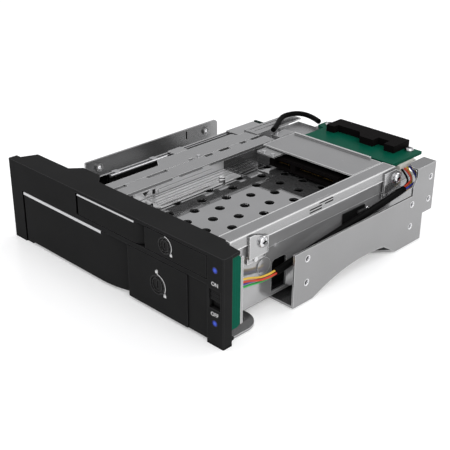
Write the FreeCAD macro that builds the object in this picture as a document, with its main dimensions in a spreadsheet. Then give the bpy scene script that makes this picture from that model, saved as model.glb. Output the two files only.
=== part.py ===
import FreeCAD, Part
import math
import os
import re

import Sketcher

# A two-bay hot swap drive cage for one half-height 5.25-inch bay, in millimetres.
# Every piece is drawn with x to the right, y back from the bezel's front face and z up from
# the bezel's foot; each is then placed so that the origin is midway along the cage's depth.

doc = FreeCAD.newDocument("hot_swap_drive_cage")
sheet = doc.addObject("Spreadsheet::Sheet", "Sizes")

SIZES = {
    # bezel
    "bezel_width": 148, "bezel_height": 42, "bezel_skin": 2, "bezel_rim": 5, "bezel_wall": 1.4,
    "hood_wall": 1.5, "hood_depth": 13, "hood_cheek": 10, "hood_tongue": 5.4, "post_width": 9.4,
    "post_depth": 11, "bar_height": 2.2, "bar_depth": 12, "lower_opening": 27.5, "blank_width": 43.8,
    "foot_height": 1.4, "foot_depth": 9,
    # doors
    "door_gap": 0.4, "door_skin": 2.2, "door_depth": 4.4, "door_rim": 1.6, "door_foot": 1.6,
    "hinge_round": 1.8, "pin_dia": 1.4, "pin_seat": 1.1, "running_gap": 0.08,
    "strip_deep": 0.8, "upper_strip_high": 0.9, "lower_strip_high": 1.5,
    "upper_strip_length": 39.5, "lower_strip_length": 60,
    "upper_scoop_left": 19, "upper_scoop_right": 27, "lower_scoop_left": -4.5, "lower_scoop_right": 15,
    "scoop_depth": 3.2, "door_step": 52.9, "door_step_depth": 0.5,
    # locks
    "upper_lock_x": 39.3, "upper_lock_z": 35.4, "upper_ring_dia": 7.6, "upper_core_dia": 4.6,
    "lower_lock_x": 34.1, "lower_lock_z": 14.7, "lower_ring_dia": 9, "lower_core_dia": 5.6,
    "lock_groove": 0.5, "barrel_length": 4.7, "barrel_wall": 0.9, "cam_thick": 1.2, "cam_width": 3,
    "upper_cam_reach": 7, "lower_cam_reach": 13.8, "cam_slot_deep": 2.6, "key_wide": 0.7,
    # switch, lights and front board
    "switch_inset": 5, "switch_low": 17.4, "switch_high": 26.4, "switch_wide": 6.4, "switch_travel": 3.4,
    "knob_tall": 4.8, "knob_gap": 0.3, "light_dia": 2.8, "upper_light_z": 35.4, "lower_light_z": 10.8,
    "board_thick": 1.6, "front_board_low": 6.3, "front_board_high": 40, "front_board_back": 11.5,
    "board_corner": 2.4, "side_wall": 1.4,
    # sheet metal of the 5.25-inch chassis
    "steel": 1, "pan_low": 0.4, "side_inset": 1, "pan_front": 44.5, "pan_rear_gap": 11.7,
    "side_top": 26.8, "side_round": 2.5, "side_slot_y": 116.6, "tongue_front": 9.2, "tongue_back": 27.2, "tongue_inset": 2.8,
    "tongue_round": 9.5, "pan_waist": 14.2, "raised_length": 15.5, "raised_slope": 2.8, "raised_top": 40.2,
    "raised_rear_gap": 3.7, "raised_low": 14.4, "raised_flange": 7.4, "slope_low": 31, "slope_high": 35.6,
    "arch_front": 58, "arch_crown": 7.6, "arch_back": 111, "arch_end": 121, "arch_shoulder": 6.6,
    "arch_inset": 8, "hole_front": 53, "hole_pitch": 79.25, "hole_low": 10, "hole_high": 21.84,
    "thread_dia": 2.6, "collar_dia": 4.2, "collar_deep": 1.2, "rear_hole_gap": 3.7,
    "rear_hole_low": 21, "rear_hole_high": 33,
    # walls of the 3.5-inch bay
    "wall_front": 14.5, "bay35_left": -50.9, "bay35_width": 103.4, "left_wall_top": 27.7,
    "left_foot": 8, "rail_box_width": 10.2, "outer_wall_low": 4.3,
    "window_front": 41.2, "window_back": 51, "window_low": 5.8, "window_high": 21.8,
    "boss_y": 35.5, "boss_z": 21.6, "boss_dia": 8,
    # perforated tray of the 2.5-inch bay
    "tray_top": 30, "thin_steel": 0.8, "tray_left": -22.5, "tray_front": 13.6,
    "tray_rear_gap": 3, "hole_dia": 4.8, "hole_step": 12.1, "hole_first_x": 3.2, "hole_first_y": 19.3,
    "hole_rows": 9, "tab_overlap": 0.6, "tab_front": 84, "tab_back": 93.2,
    # top rails
    "rail_top": 41, "rail_rear_gap": 25.8, "right_rail_width": 7.4, "rail_over": 1.4,
    "right_rail_low": 35.8, "left_rail_split": -11, "left_rail_in": -1.6, "left_rail_nose": -17.1,
    "seam_slot": 2.4, "cover_back": 113.8, "plate_front": 104.5, "plate_depth": 23, "plate_lip": 1.1,
    # rear boards and sockets
    "rear_board_left": 1, "rear_board_width": 61.2, "rear_board_deep": 24.8, "cage_depth": 154,
    "rear_board_low": 39.7, "board_notch": 4.8, "socket_left": 10, "socket_length": 44, "socket_over": 0.6,
    "socket_deep": 8.5, "socket_lug": 5, "socket_top": 45, "board_screw_inset": 3.6, "board_screw_dia": 4.6,
    # drive connectors
    "plug_length": 44, "upper_plug_x": 27, "upper_plug_front": 103, "plug_deep": 6.6,
    "plug_tall": 6, "upper_plug_low": 31.6, "lower_plug_x": 16, "lower_plug_low": 4.6,
    "lower_plug_deep": 5.2, "back_board_low": 3, "back_board_high": 28.6,
    # ejector sliders
    "slider_front": 29.4, "slider_back": 84, "slider_left": -9.7, "slider_right": 3,
    "slider_thick": 0.6, "slider_rib": 0.4, "slider_web": 6, "slider_travel": 9, "slider_gap": 0.3,
    "bar_front": 40, "rod_back": 78, "bar_rear_gap": 3, "bar_thick": 1.2, "bar_low": 15.4,
    "bar_roll": 1.5, "bar_width": 5.2, "bar_rise": 0.4,
    # ears and screws
    "ear_front_y": 24.5, "ear_width": 11.6, "ear_top": 39.8, "ear_low": 26.4,
    "rear_ear_y": 119, "rear_ear_width": 13.8, "ear_step": 29, "ear_screw_z": 35.4,
    "pan_head_dia": 5.2, "pan_head_tall": 1.5, "rivet_dia": 2.2, "rivet_z": 27.7,
    # wires
    "wire_dia": 1, "header_rear_gap": 21.5, "header_length": 13.5, "header_inset": 2.6, "header_wide": 4.2,
    "header_low": 36.2,
    "sleeve_dia": 3.4, "loop_dia": 2.8,
}

for row, (name, value) in enumerate(SIZES.items(), 1):
    sheet.set(f"A{row}", name)
    sheet.set(f"B{row}", str(value))
    sheet.setAlias(f"B{row}", name)
doc.recompute()

WORDS = re.compile(r"[a-z][a-z0-9_]*")


def formula(text):
    """Turn words that name a size into references to the sheet."""
    return WORDS.sub(lambda m: "Sizes." + m.group() if m.group() in SIZES else m.group(), str(text))


def bind(thing, prop, text):
    thing.setExpression(prop, formula(text))


def read(name):
    return float(sheet.get(name))


# Places that several pieces share, written as formulas of the sizes.
SWITCH_X = "(bezel_width / 2 - switch_inset)"
PAN_OUT = "(bezel_width / 2 - side_inset)"
PAN_BACK = "(cage_depth - pan_rear_gap)"
RAISED_BACK = "(cage_depth - raised_rear_gap)"
WALL_BACK = "(cage_depth - board_thick)"
RAIL_BACK = "(cage_depth - rail_rear_gap)"
RAIL_OUT = "(bay35_left + bay35_width + rail_box_width + 1.3)"
TRAY_RIGHT = "(bay35_left + bay35_width + rail_box_width - 0.1)"
HEADER_FRONT = "(cage_depth - header_rear_gap)"
BOARD_RIGHT = "(rear_board_left + rear_board_width)"
CLIP_LOW = "(rail_top - thin_steel - 1.1)"
SHELF_BACK = "(cage_depth - tray_rear_gap - 1)"
RIGHT = "(bezel_width / 2 - post_width)"
LEFT = "(-bezel_width / 2 + post_width)"
UPPER_LEFT = "(-bezel_width / 2 + post_width + blank_width)"
BAR_TOP = "(lower_opening + bar_height)"
HOOD_LOW = "(bezel_height - hood_wall)"
PAN_TOP = "(pan_low + steel)"
TRAY_LOW = "(tray_top - thin_steel)"
RAIL_LOW = "(rail_top - thin_steel)"
WALL_RIGHT = "(bay35_left + bay35_width)"
OUTER_WALL = "(bay35_left + bay35_width + rail_box_width)"
BOARD_OUT = "(bezel_width / 2 - side_wall - 0.2)"
BOARD_IN = "(bezel_width / 2 - side_wall - 0.2 - board_thick)"
BOARD_TOP = "(rear_board_low + board_thick)"
UPPER_HINGE = "(-bezel_width / 2 + post_width + blank_width + door_gap + hinge_round)"
LOWER_HINGE = "(-bezel_width / 2 + post_width + door_gap + hinge_round)"

PLANES = {"XY": "XY_Plane", "XZ": "XZ_Plane", "YZ": "YZ_Plane"}


class Piece:
    """One part, built by padding and pocketing sketches on its own origin planes."""

    def __init__(self, label):
        self.body = doc.addObject("PartDesign::Body", "body_" + label)
        self.label = label
        self.count = 0

    def sketch(self, plane, loops, offset):
        self.count += 1
        sketch = self.body.newObject("Sketcher::SketchObject", f"{self.label}_outline_{self.count}")
        origin = [f for f in self.body.Origin.OriginFeatures if f.Role == PLANES[plane]][0]
        sketch.AttachmentSupport = [(origin, "")]
        sketch.MapMode = "FlatFace"
        bind(sketch, "AttachmentOffset.Base.z", offset)
        for loop in loops:
            if loop[0] == "circle":
                self.circle(sketch, *loop[1:])
            else:
                self.polygon(sketch, loop)
        return sketch

    def circle(self, sketch, x, y, diameter):
        middle = FreeCAD.Vector(value_of(x), value_of(y), 0)
        index = sketch.addGeometry(Part.Circle(middle, FreeCAD.Vector(0, 0, 1), value_of(diameter) / 2))
        for kind, text, args in (("DistanceX", x, (-1, 1, index, 3)), ("DistanceY", y, (-1, 1, index, 3))):
            rule = sketch.addConstraint(Sketcher.Constraint(kind, *args, value_of(text)))
            bind(sketch, f"Constraints[{rule}]", text)
        rule = sketch.addConstraint(Sketcher.Constraint("Diameter", index, value_of(diameter)))
        bind(sketch, f"Constraints[{rule}]", diameter)

    def polygon(self, sketch, corners):
        """Straight edges between corners; a corner with a radius starts an arc that bulges to the
        left of the way, or to the right when a fourth item says so."""
        places = []
        for corner in corners:
            places.append(FreeCAD.Vector(value_of(corner[0]), value_of(corner[1]), 0))
        total = len(corners)
        edges = []
        for i, corner in enumerate(corners):
            start, end = places[i], places[(i + 1) % total]
            if len(corner) > 2:
                edges.append(sketch.addGeometry(arc_between(start, end, value_of(corner[2]), len(corner) == 3)))
            else:
                edges.append(sketch.addGeometry(Part.LineSegment(start, end)))
        for i, corner in enumerate(corners):
            here = self.end_of(corners[i], 1)
            before = self.end_of(corners[i - 1], 2)
            sketch.addConstraint(Sketcher.Constraint("Coincident", edges[i - 1], before, edges[i], here))
            for kind, text in (("DistanceX", corner[0]), ("DistanceY", corner[1])):
                rule = sketch.addConstraint(Sketcher.Constraint(kind, -1, 1, edges[i], here, value_of(text)))
                bind(sketch, f"Constraints[{rule}]", text)
            if len(corner) > 2:
                rule = sketch.addConstraint(Sketcher.Constraint("Radius", edges[i], value_of(corner[2])))
                bind(sketch, f"Constraints[{rule}]", corner[2])

    def end_of(self, corner, end):
        """An arc runs anticlockwise, so one that bulges left has its ends the other way round."""
        if len(corner) == 3:
            return 2 if end == 1 else 1
        return end

    def pad(self, plane, loops, low, high):
        sketch = self.sketch(plane, loops, f"-({high})" if plane == "XZ" else low)
        pad = self.body.newObject("PartDesign::Pad", f"{self.label}_pad_{self.count}")
        pad.Profile = sketch
        bind(pad, "Length", f"({high}) - ({low})")
        return self

    def pocket(self, plane, loops, low, high):
        sketch = self.sketch(plane, loops, f"-({low})" if plane == "XZ" else high)
        pocket = self.body.newObject("PartDesign::Pocket", f"{self.label}_pocket_{self.count}")
        pocket.Profile = sketch
        bind(pocket, "Length", f"({high}) - ({low})")
        return self

    def soften(self, chosen, size, kind="Fillet"):
        """Round or chamfer the edges that a test of their middle and direction picks."""
        doc.recompute()
        base = self.body.Tip
        names = []
        for i, edge in enumerate(base.Shape.Edges, 1):
            middle = edge.valueAt((edge.FirstParameter + edge.LastParameter) / 2)
            if chosen(edge, middle):
                names.append(f"Edge{i}")
        self.count += 1
        feature = self.body.newObject(f"PartDesign::{kind}", f"{self.label}_{kind.lower()}_{self.count}")
        feature.Base = (base, names)
        bind(feature, "Radius" if kind == "Fillet" else "Size", size)
        return self


def value_of(text):
    """The number that a formula of the sizes has now, worked out by the sheet itself."""
    probe = doc.getObject("Probe") or doc.addObject("App::FeaturePython", "Probe")
    if "Value" not in probe.PropertiesList:
        probe.addProperty("App::PropertyFloat", "Value")
    return float(probe.evalExpression(formula(text)))


def arc_between(start, end, radius, bulges_left):
    """The shorter arc between two points, kept anticlockwise as sketches want it."""
    if not bulges_left:
        start, end = end, start
    middle = (start + end) * 0.5
    along = end - start
    half = along.Length / 2
    left = FreeCAD.Vector(-along.y, along.x, 0).normalize()
    centre = middle - left * math.sqrt(max(radius * radius - half * half, 0))
    circle = Part.Circle(centre, FreeCAD.Vector(0, 0, 1), radius)
    angle = {}
    for key, point in (("start", start), ("end", end)):
        angle[key] = math.atan2(point.y - centre.y, point.x - centre.x)
    return Part.ArcOfCircle(circle, angle["end"], angle["start"])


def rect(x0, y0, x1, y1):
    return [(x0, y0), (x1, y0), (x1, y1), (x0, y1)]


def upright(edge, middle):
    """True for a straight edge that runs along z."""
    ends = edge.Vertexes
    if len(ends) != 2 or edge.Curve.TypeId != "Part::GeomLine":
        return False
    way = ends[1].Point - ends[0].Point
    return abs(way.z) > 0.99 * way.Length


def across(edge, middle):
    """True for a straight edge that runs along x."""
    ends = edge.Vertexes
    if len(ends) != 2 or edge.Curve.TypeId != "Part::GeomLine":
        return False
    way = ends[1].Point - ends[0].Point
    return abs(way.x) > 0.99 * way.Length


def cylinder(name, axis, x, y, z, diameter, length):
    """A round bar that starts at x, y, z and runs along one axis."""
    bar = doc.addObject("Part::Cylinder", name)
    turns = {"X": FreeCAD.Rotation(FreeCAD.Vector(0, 1, 0), 90),
             "Y": FreeCAD.Rotation(FreeCAD.Vector(1, 0, 0), -90), "Z": FreeCAD.Rotation()}
    bar.Placement = FreeCAD.Placement(FreeCAD.Vector(), turns[axis])
    for prop, text in (("Placement.Base.x", x), ("Placement.Base.y", y), ("Placement.Base.z", z),
                       ("Radius", f"({diameter}) / 2"), ("Height", length)):
        bind(bar, prop, text)
    return bar


def box(name, x0, y0, z0, x1, y1, z1):
    """A block between two corners."""
    block = doc.addObject("Part::Box", name)
    for prop, text in (("Placement.Base.x", x0), ("Placement.Base.y", y0), ("Placement.Base.z", z0),
                       ("Length", f"({x1}) - ({x0})"), ("Width", f"({y1}) - ({y0})"),
                       ("Height", f"({z1}) - ({z0})")):
        bind(block, prop, text)
    return block


def join(name, shapes):
    result = doc.addObject("Part::MultiFuse", name)
    result.Shapes = shapes
    result.Refine = True
    return result


def cut(name, base, tools):
    tool = tools[0] if len(tools) == 1 else join(name + "_tools", tools)
    result = doc.addObject("Part::Cut", name)
    result.Base = base
    result.Tool = tool
    return result


def group(name, shapes):
    result = doc.addObject("Part::Compound", name)
    result.Links = shapes
    return result


NODES = {}


def keep(label, thing):
    """Name a finished piece and move its origin to the middle of the cage's depth."""
    thing.Label = label
    bind(thing, "Placement.Base.y", "-cage_depth / 2")
    NODES[label] = thing


# ---------------------------------------------------------------- front bezel
bezel = Piece("front_bezel")
bezel.pad("XZ", [rect("-bezel_width / 2", "0", "bezel_width / 2", "bezel_height")], "0", "bezel_rim")
hood = [("-bezel_width / 2", "0"), ("bezel_width / 2", "0"), ("bezel_width / 2 - 0.7", "hood_cheek"),
        ("bezel_width / 2 - post_width + 0.5", "hood_cheek + 0.9"),
        ("bezel_width / 2 - post_width - 2.4", "hood_depth"), (UPPER_LEFT + " + 0.8", "hood_depth"),
        (UPPER_LEFT + " - 5", "hood_depth + hood_tongue"),
        (UPPER_LEFT + " - 17.4", "hood_depth + hood_tongue"), (UPPER_LEFT + " - 22", "hood_depth"),
        ("-bezel_width / 2 + 6.3", "hood_depth"), ("-bezel_width / 2 + 3.1", "bezel_rim"),
        ("-bezel_width / 2", "bezel_rim")]
bezel.pad("XY", [hood], HOOD_LOW, "bezel_height")
bezel.pad("XZ", [rect(LEFT, "lower_opening", RIGHT, BAR_TOP)], "0", "bar_depth")
bezel.pocket("XZ", [rect(LEFT, "-1", RIGHT, "lower_opening")], "-1", "bezel_rim + 1")
bezel.pocket("XZ", [rect(UPPER_LEFT, BAR_TOP, RIGHT, HOOD_LOW)], "-1", "bezel_rim + 1")
# the posts and the blank panel are hollow behind
bezel.pocket("XZ", [rect("-bezel_width / 2 + bezel_wall", "foot_height", LEFT + " - bezel_wall", HOOD_LOW)],
             "bezel_skin", "bezel_rim + 1")
bezel.pocket("XZ", [rect(RIGHT + " + bezel_wall", "foot_height", "bezel_width / 2 - side_wall", HOOD_LOW)],
             "bezel_skin", "bezel_rim + 1")
bezel.pocket("XZ", [rect(LEFT + " - bezel_wall", BAR_TOP, UPPER_LEFT + " - bezel_wall", HOOD_LOW)],
             "bezel_skin", "bezel_rim + 1")
for side, inner in (("left", LEFT), ("right", RIGHT)):
    edge = f"{inner} - bezel_wall" if side == "left" else inner
    far = inner if side == "left" else f"{inner} + bezel_wall"
    bezel.pad("XZ", [rect(edge, "foot_height", far, HOOD_LOW)], "bezel_rim", "post_depth")
bezel.pad("XZ", [rect(UPPER_LEFT + " - bezel_wall", BAR_TOP, UPPER_LEFT, HOOD_LOW)], "bezel_rim", "post_depth")
for x0, x1 in (("-bezel_width / 2 + tongue_inset", LEFT), (RIGHT, "bezel_width / 2 - tongue_inset")):
    bezel.pad("XY", [rect(x0, "bezel_rim", x1, "foot_depth")], "0", "foot_height")
bezel.pad("XY", [rect(LEFT, "0.6", LEFT + " + 5", "hinge_round * 2")], "0.2", "door_foot - 0.3")
# windows for the switch and the lights, seats for the hinge pins, slots for the lock cams
bezel.pocket("XZ", [rect(SWITCH_X + " - switch_wide / 2", "switch_low", SWITCH_X + " + switch_wide / 2", "switch_high"),
                    ("circle", SWITCH_X, "upper_light_z", "light_dia + 0.1"),
                    ("circle", SWITCH_X, "lower_light_z", "light_dia + 0.1")], "-1", "bezel_skin + 0.5")
bezel.pocket("XY", [("circle", LOWER_HINGE, "hinge_round", "pin_dia + 0.06")], "-1", "lower_opening + pin_seat")
bezel.pocket("XY", [("circle", UPPER_HINGE, "hinge_round", "pin_dia + 0.06")], BAR_TOP + " - pin_seat",
             HOOD_LOW + " + pin_seat - 0.3")
cam_front = "barrel_length - 0.4"
cam_slot = [rect("lower_lock_x - cam_width / 2 - 4.4", cam_front, "lower_lock_x + cam_width / 2 + 0.4",
                 cam_front + " + cam_slot_deep"),
            rect("upper_lock_x - cam_width / 2 - 0.4", cam_front, "upper_lock_x + cam_width / 2 + 4.4",
                 cam_front + " + cam_slot_deep")]
bezel.pocket("XY", cam_slot, "lower_opening - 1", BAR_TOP + " + 1")
bezel.soften(lambda e, m: upright(e, m) and m.y < 0.1 and abs(m.x) > read("bezel_width") / 2 - 0.1,
             "0.4", "Chamfer")
keep("front_bezel", bezel.body)


# ---------------------------------------------------------------- doors
def door(label, x0, z0, x1, z1, hinge, scoop_left, scoop_right, lock_x, lock_z, ring, strip_long, strip_high):
    """A moulded door: skin, rim, rounded hinge end, finger scoop, lock seat and a slot for its strip."""
    piece = Piece(label)
    # plan view: the hinge end is a half round about the pin
    plan = [(hinge, "0"), (x1, "0"), (x1 + " - 0.5", "door_depth"),
            (hinge + " + 4", "door_depth"), (hinge + " + 3", "hinge_round * 2"),
            (hinge, "hinge_round * 2", "hinge_round", "right"),
            (hinge + " - hinge_round", "hinge_round", "hinge_round", "right")]
    piece.pad("XY", [plan], z0, z1)
    # hollow behind the skin, in the stretch left of the scoop and right of the lock
    for a, b in ((hinge + " + 6", scoop_left + " - 2"), (lock_x + " + " + ring + " / 2 + 2", x1 + " - 2.4")):
        piece.pocket("XZ", [rect(a, z0 + " + door_rim", b, z1 + " - door_rim")], "door_skin", "door_depth + 1")
    # the scoop curves in from the panel and stops at the lock block
    scoop = [(scoop_left, "-1"), (scoop_right, "-1"), (scoop_right, "scoop_depth"),
             (scoop_right + " - 1.2", "scoop_depth",
              f"(({scoop_right} - 1.2 - {scoop_left}) ^ 2 + scoop_depth ^ 2) / (2 * scoop_depth)"),
             (scoop_left, "0")]
    piece.pocket("XY", [scoop], z0 + " - 1", z1 + " + 1")
    piece.pocket("XY", [("circle", hinge, "hinge_round", "pin_dia + 2 * running_gap")], z0 + " - 1", z1 + " + 1")
    # seat of the lock barrel and the groove round its ring
    piece.pocket("XZ", [("circle", lock_x, lock_z, ring)], "-1", "1")
    piece.pocket("XZ", [("circle", lock_x, lock_z, ring + " - 1.6")], "-1", "door_depth + 1")
    # slot of the silver strip along the top edge
    piece.pocket("XZ", [rect(hinge + " - hinge_round + 0.8", z1 + " - " + strip_high,
                             hinge + " - hinge_round + 0.8 + " + strip_long, z1 + " + 1")], "-1", "strip_deep")
    return piece


UPPER = {"x0": UPPER_LEFT + " + door_gap", "x1": RIGHT + " - door_gap", "z0": BAR_TOP + " + door_gap",
         "z1": HOOD_LOW + " - door_gap"}
LOWER = {"x0": LEFT + " + door_gap", "x1": RIGHT + " - door_gap", "z0": "door_foot",
         "z1": "lower_opening - door_gap"}

upper_door = door("door_25", hinge=UPPER_HINGE, scoop_left="upper_scoop_left", scoop_right="upper_scoop_right",
                  lock_x="upper_lock_x", lock_z="upper_lock_z", ring="upper_ring_dia",
                  strip_long="upper_strip_length", strip_high="upper_strip_high", **UPPER)
keep("door_25", upper_door.body)
lower_door = door("door_35", hinge=LOWER_HINGE, scoop_left="lower_scoop_left", scoop_right="lower_scoop_right",
                  lock_x="lower_lock_x", lock_z="lower_lock_z", ring="lower_ring_dia",
                  strip_long="lower_strip_length", strip_high="lower_strip_high", **LOWER)
lower_door.pocket("XZ", [rect("door_step", "door_foot - 1", RIGHT, "lower_opening")], "-1", "door_step_depth")
keep("door_35", lower_door.body)

for label, hinge, top, long, high in (
        ("door_25_strip", UPPER_HINGE, UPPER["z1"], "upper_strip_length", "upper_strip_high"),
        ("door_35_strip", LOWER_HINGE, LOWER["z1"], "lower_strip_length", "lower_strip_high")):
    strip = Piece(label)
    start = hinge + " - hinge_round + 0.8"
    strip.pad("XZ", [rect(start, f"{top} - {high}", f"{start} + {long}", top)], "0", "strip_deep")
    strip.soften(lambda e, m: across(e, m) and m.y < 0.01, "0.25", "Chamfer")
    keep(label, strip.body)

for label, hinge, low, high in (
        ("hinge_pin_25", UPPER_HINGE, BAR_TOP + " - pin_seat", HOOD_LOW + " + pin_seat - 0.3"),
        ("hinge_pin_35", LOWER_HINGE, "0.2", "lower_opening + pin_seat")):
    pin = Piece(label)
    pin.pad("XY", [("circle", hinge, "hinge_round", "pin_dia")], low, high)
    keep(label, pin.body)


# ---------------------------------------------------------------- locks
def lock(size, x, z, ring, core, reach, cam_way):
    """Barrel in the door, a core that the key turns, and the cam on the core's end."""
    barrel = join(f"barrel_{size}_solid", [
        cylinder(f"barrel_{size}_ring", "Y", x, "0", z, ring, "1"),
        cylinder(f"barrel_{size}_tube", "Y", x, "0.5", z, ring + " - 1.6", "barrel_length - 0.5")])
    keep(f"lock_barrel_{size}", cut(f"barrel_{size}_bored", barrel, [
        cylinder(f"barrel_{size}_bore", "Y", x, "-1", z, core + " + 2 * running_gap", "barrel_length + 2"),
        cut(f"barrel_{size}_groove", cylinder(f"barrel_{size}_groove_out", "Y", x, "-1", z, ring + " - 0.8",
                                              "1 + lock_groove"),
            [cylinder(f"barrel_{size}_groove_in", "Y", x, "-2", z, core + " + barrel_wall", "4")])]))
    plug = cylinder(f"core_{size}_plug", "Y", x, "0.3", z, core, "barrel_length - 0.3")
    key = box(f"core_{size}_key", x + " - key_wide / 2", "-1", f"{z} - ({core}) * 0.36",
              x + " + key_wide / 2", "3", f"{z} + ({core}) * 0.36")
    keep(f"lock_core_{size}", cut(f"core_{size}_slotted", plug, [key]))
    hub = cylinder(f"cam_{size}_hub", "Y", x, "barrel_length", z, core + " + 0.4", "cam_thick")
    x0, x1 = (x, f"{x} + {reach}") if cam_way > 0 else (f"{x} - {reach}", x)
    arm = box(f"cam_{size}_arm", x0, "barrel_length", z + " - cam_width / 2", x1,
              "barrel_length + cam_thick", z + " + cam_width / 2")
    keep(f"lock_cam_{size}", join(f"cam_{size}_solid", [hub, arm]))


lock("25", "upper_lock_x", "upper_lock_z", "upper_ring_dia", "upper_core_dia", "upper_cam_reach", 1)
lock("35", "lower_lock_x", "lower_lock_z", "lower_ring_dia", "lower_core_dia", "lower_cam_reach", -1)

# ---------------------------------------------------------------- switch, lights and front board
switch = Piece("switch_body")
switch.pad("XY", [rect(RIGHT + " + bezel_wall + 0.2", "bezel_skin + 0.2", BOARD_IN, "7.4")],
           "switch_low - 0.6", "switch_high + 0.6")
switch.pocket("XZ", [rect(SWITCH_X + " - 1.3", "switch_high - 0.4 - 3 - switch_travel", SWITCH_X + " + 1.3", "switch_high - 0.4")],
              "0", "5.4")
keep("switch_body", switch.body)
knob = Piece("switch_knob")
knob_top = "switch_high - knob_gap"
knob.pad("XZ", [rect(SWITCH_X + " - switch_wide / 2 + knob_gap", knob_top + " - knob_tall",
                     SWITCH_X + " + switch_wide / 2 - knob_gap", knob_top)], "0.5", "bezel_skin - 0.1")
knob.pad("XZ", [rect(SWITCH_X + " - 1", knob_top + " - 2.6", SWITCH_X + " + 1", knob_top + " - 0.4")],
         "bezel_skin - 0.1", "5.1")
knob.pocket("YZ", [[("0.2", knob_top + " - 1.2"), ("0.2", knob_top + " - 1.7"), ("1", knob_top + " - 1.45")],
                   [("0.2", knob_top + " - 2.9"), ("0.2", knob_top + " - 3.4"), ("1", knob_top + " - 3.15")]],
            SWITCH_X + " - switch_wide", SWITCH_X + " + switch_wide")
keep("switch_knob", knob.body)
for label, height in (("light_upper", "upper_light_z"), ("light_lower", "lower_light_z")):
    lens = cylinder(label + "_lens", "Y", SWITCH_X, "0.1", height, "light_dia", "6")
    base = box(label + "_base", SWITCH_X + " - 1.6", "4.4", height + " - 1.6", BOARD_IN, "7.4", height + " + 1.6")
    keep(label, join(label + "_solid", [lens, base]))

board = Piece("front_board")
board.pad("YZ", [rect("bezel_skin + 0.4", "front_board_low", "front_board_back", "front_board_high")],
          BOARD_IN, BOARD_OUT)
board.soften(lambda e, m: abs(e.tangentAt(e.FirstParameter).x) > 0.99 and m.y > read("bezel_rim"), "board_corner")
keep("front_board", board.body)
support = Piece("board_support")
support.pad("XY", [rect(BOARD_IN + " + 0.1", "front_board_back", BOARD_OUT, "front_board_back + 1.4")],
            "front_board_low + 0.8", "front_board_high - 1.6")
keep("board_support", support.body)

header = Piece("front_header")
header.pad("XY", [rect(BOARD_IN + " - 4.4", "7.8", BOARD_IN, "front_board_back + 0.9")], "19.6", "27")
header.pocket("XZ", [rect(BOARD_IN + " - 3.6", "20.4", BOARD_IN + " - 0.8", "26.2")],
              "front_board_back - 0.4", "front_board_back + 1")
keep("front_header", header.body)

# ---------------------------------------------------------------- base pan with the outer side plates
pan = Piece("base_pan")
reach = "bezel_width / 2 - tongue_inset"
waist = PAN_OUT + " - pan_waist"
tray_side = PAN_OUT + " - arch_inset"
right_edge = [(reach, "tongue_front"), (reach, "tongue_back - tongue_round", "tongue_round", "right"),
              (reach + " - tongue_round", "tongue_back"), (waist, "tongue_back"),
              (waist, "pan_front"), (PAN_OUT, "pan_front"), (PAN_OUT, "arch_front"), (tray_side, "arch_front"),
              (tray_side, "arch_back"), (PAN_OUT, "arch_end"), (PAN_OUT, PAN_BACK)]
left_edge = [("-(" + PAN_OUT + ")", PAN_BACK), ("-(" + PAN_OUT + ")", "arch_end"),
             ("-(" + tray_side + ")", "arch_back"), ("-(" + tray_side + ")", "arch_front"),
             ("-(" + PAN_OUT + ")", "arch_front"), ("-(" + PAN_OUT + ")", "pan_front"),
             ("-(" + waist + ")", "pan_front"), ("-(" + waist + ")", "tongue_back"),
             ("-(" + reach + " - tongue_round)", "tongue_back", "tongue_round", "right"),
             ("-(" + reach + ")", "tongue_back - tongue_round"), ("-(" + reach + ")", "tongue_front")]
pan.pad("XY", [right_edge + left_edge], "pan_low", PAN_TOP)
lower_side = [("pan_front", "pan_low"), ("arch_front", "pan_low", "98"), ("arch_back", "arch_shoulder"),
              ("arch_end", "pan_low"), (PAN_BACK, "pan_low")]
raised_front = RAISED_BACK + " - raised_length"
right_side = lower_side + [(PAN_BACK, "raised_low"), (RAISED_BACK, "raised_low"), (RAISED_BACK, "raised_top"),
                           (raised_front, "raised_top"), (raised_front, "slope_high"),
                           (raised_front + " - raised_slope", "slope_low"),
                           (raised_front + " - raised_slope", "side_top"), ("pan_front", "side_top")]
left_side = lower_side + [(PAN_BACK, "side_top - side_round", "side_round", "right"),
                          (PAN_BACK + " - side_round", "side_top"), ("pan_front", "side_top")]
pan.pad("YZ", [right_side], PAN_OUT + " - steel", PAN_OUT)
pan.pad("YZ", [left_side], "-" + PAN_OUT, "-" + PAN_OUT + " + steel")
pan.pad("XY", [[(PAN_OUT + " - raised_flange + 4", raised_front), (PAN_OUT, raised_front), (PAN_OUT, RAISED_BACK),
                (PAN_OUT + " - raised_flange", RAISED_BACK),
                (PAN_OUT + " - raised_flange", raised_front + " + 4")]], "raised_top - steel", "raised_top")
near = ["hole_front", "hole_front + hole_pitch"]
high = ["pan_low + hole_low", "pan_low + hole_high"]
rear_y = RAISED_BACK + " - rear_hole_gap"
side_spots = [(y, z) for y in near for z in high]
right_spots = side_spots + [(rear_y, "rear_hole_low"), (rear_y, "rear_hole_high")]


def rings(spots, diameter):
    return [("circle", y, z, diameter) for y, z in spots]


pan.pad("YZ", rings(right_spots, "collar_dia"), PAN_OUT + " - steel - collar_deep", PAN_OUT + " - steel / 2")
pan.pad("YZ", rings(side_spots, "collar_dia"), "-" + PAN_OUT + " + steel / 2", "-" + PAN_OUT + " + steel + collar_deep")
pan.pocket("YZ", rings(right_spots, "thread_dia"), PAN_OUT + " - steel - collar_deep - 1", PAN_OUT + " + 1")
pan.pocket("YZ", rings(side_spots, "thread_dia"), "-" + PAN_OUT + " - 1", "-" + PAN_OUT + " + steel + collar_deep + 1")
pan.pocket("YZ", [rect("side_slot_y", "side_top - 6", "side_slot_y + 1.3", "side_top - 1.2")], "-" + PAN_OUT + " - 1",
           "-" + PAN_OUT + " + 2")
keep("base_pan", pan.body)

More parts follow.
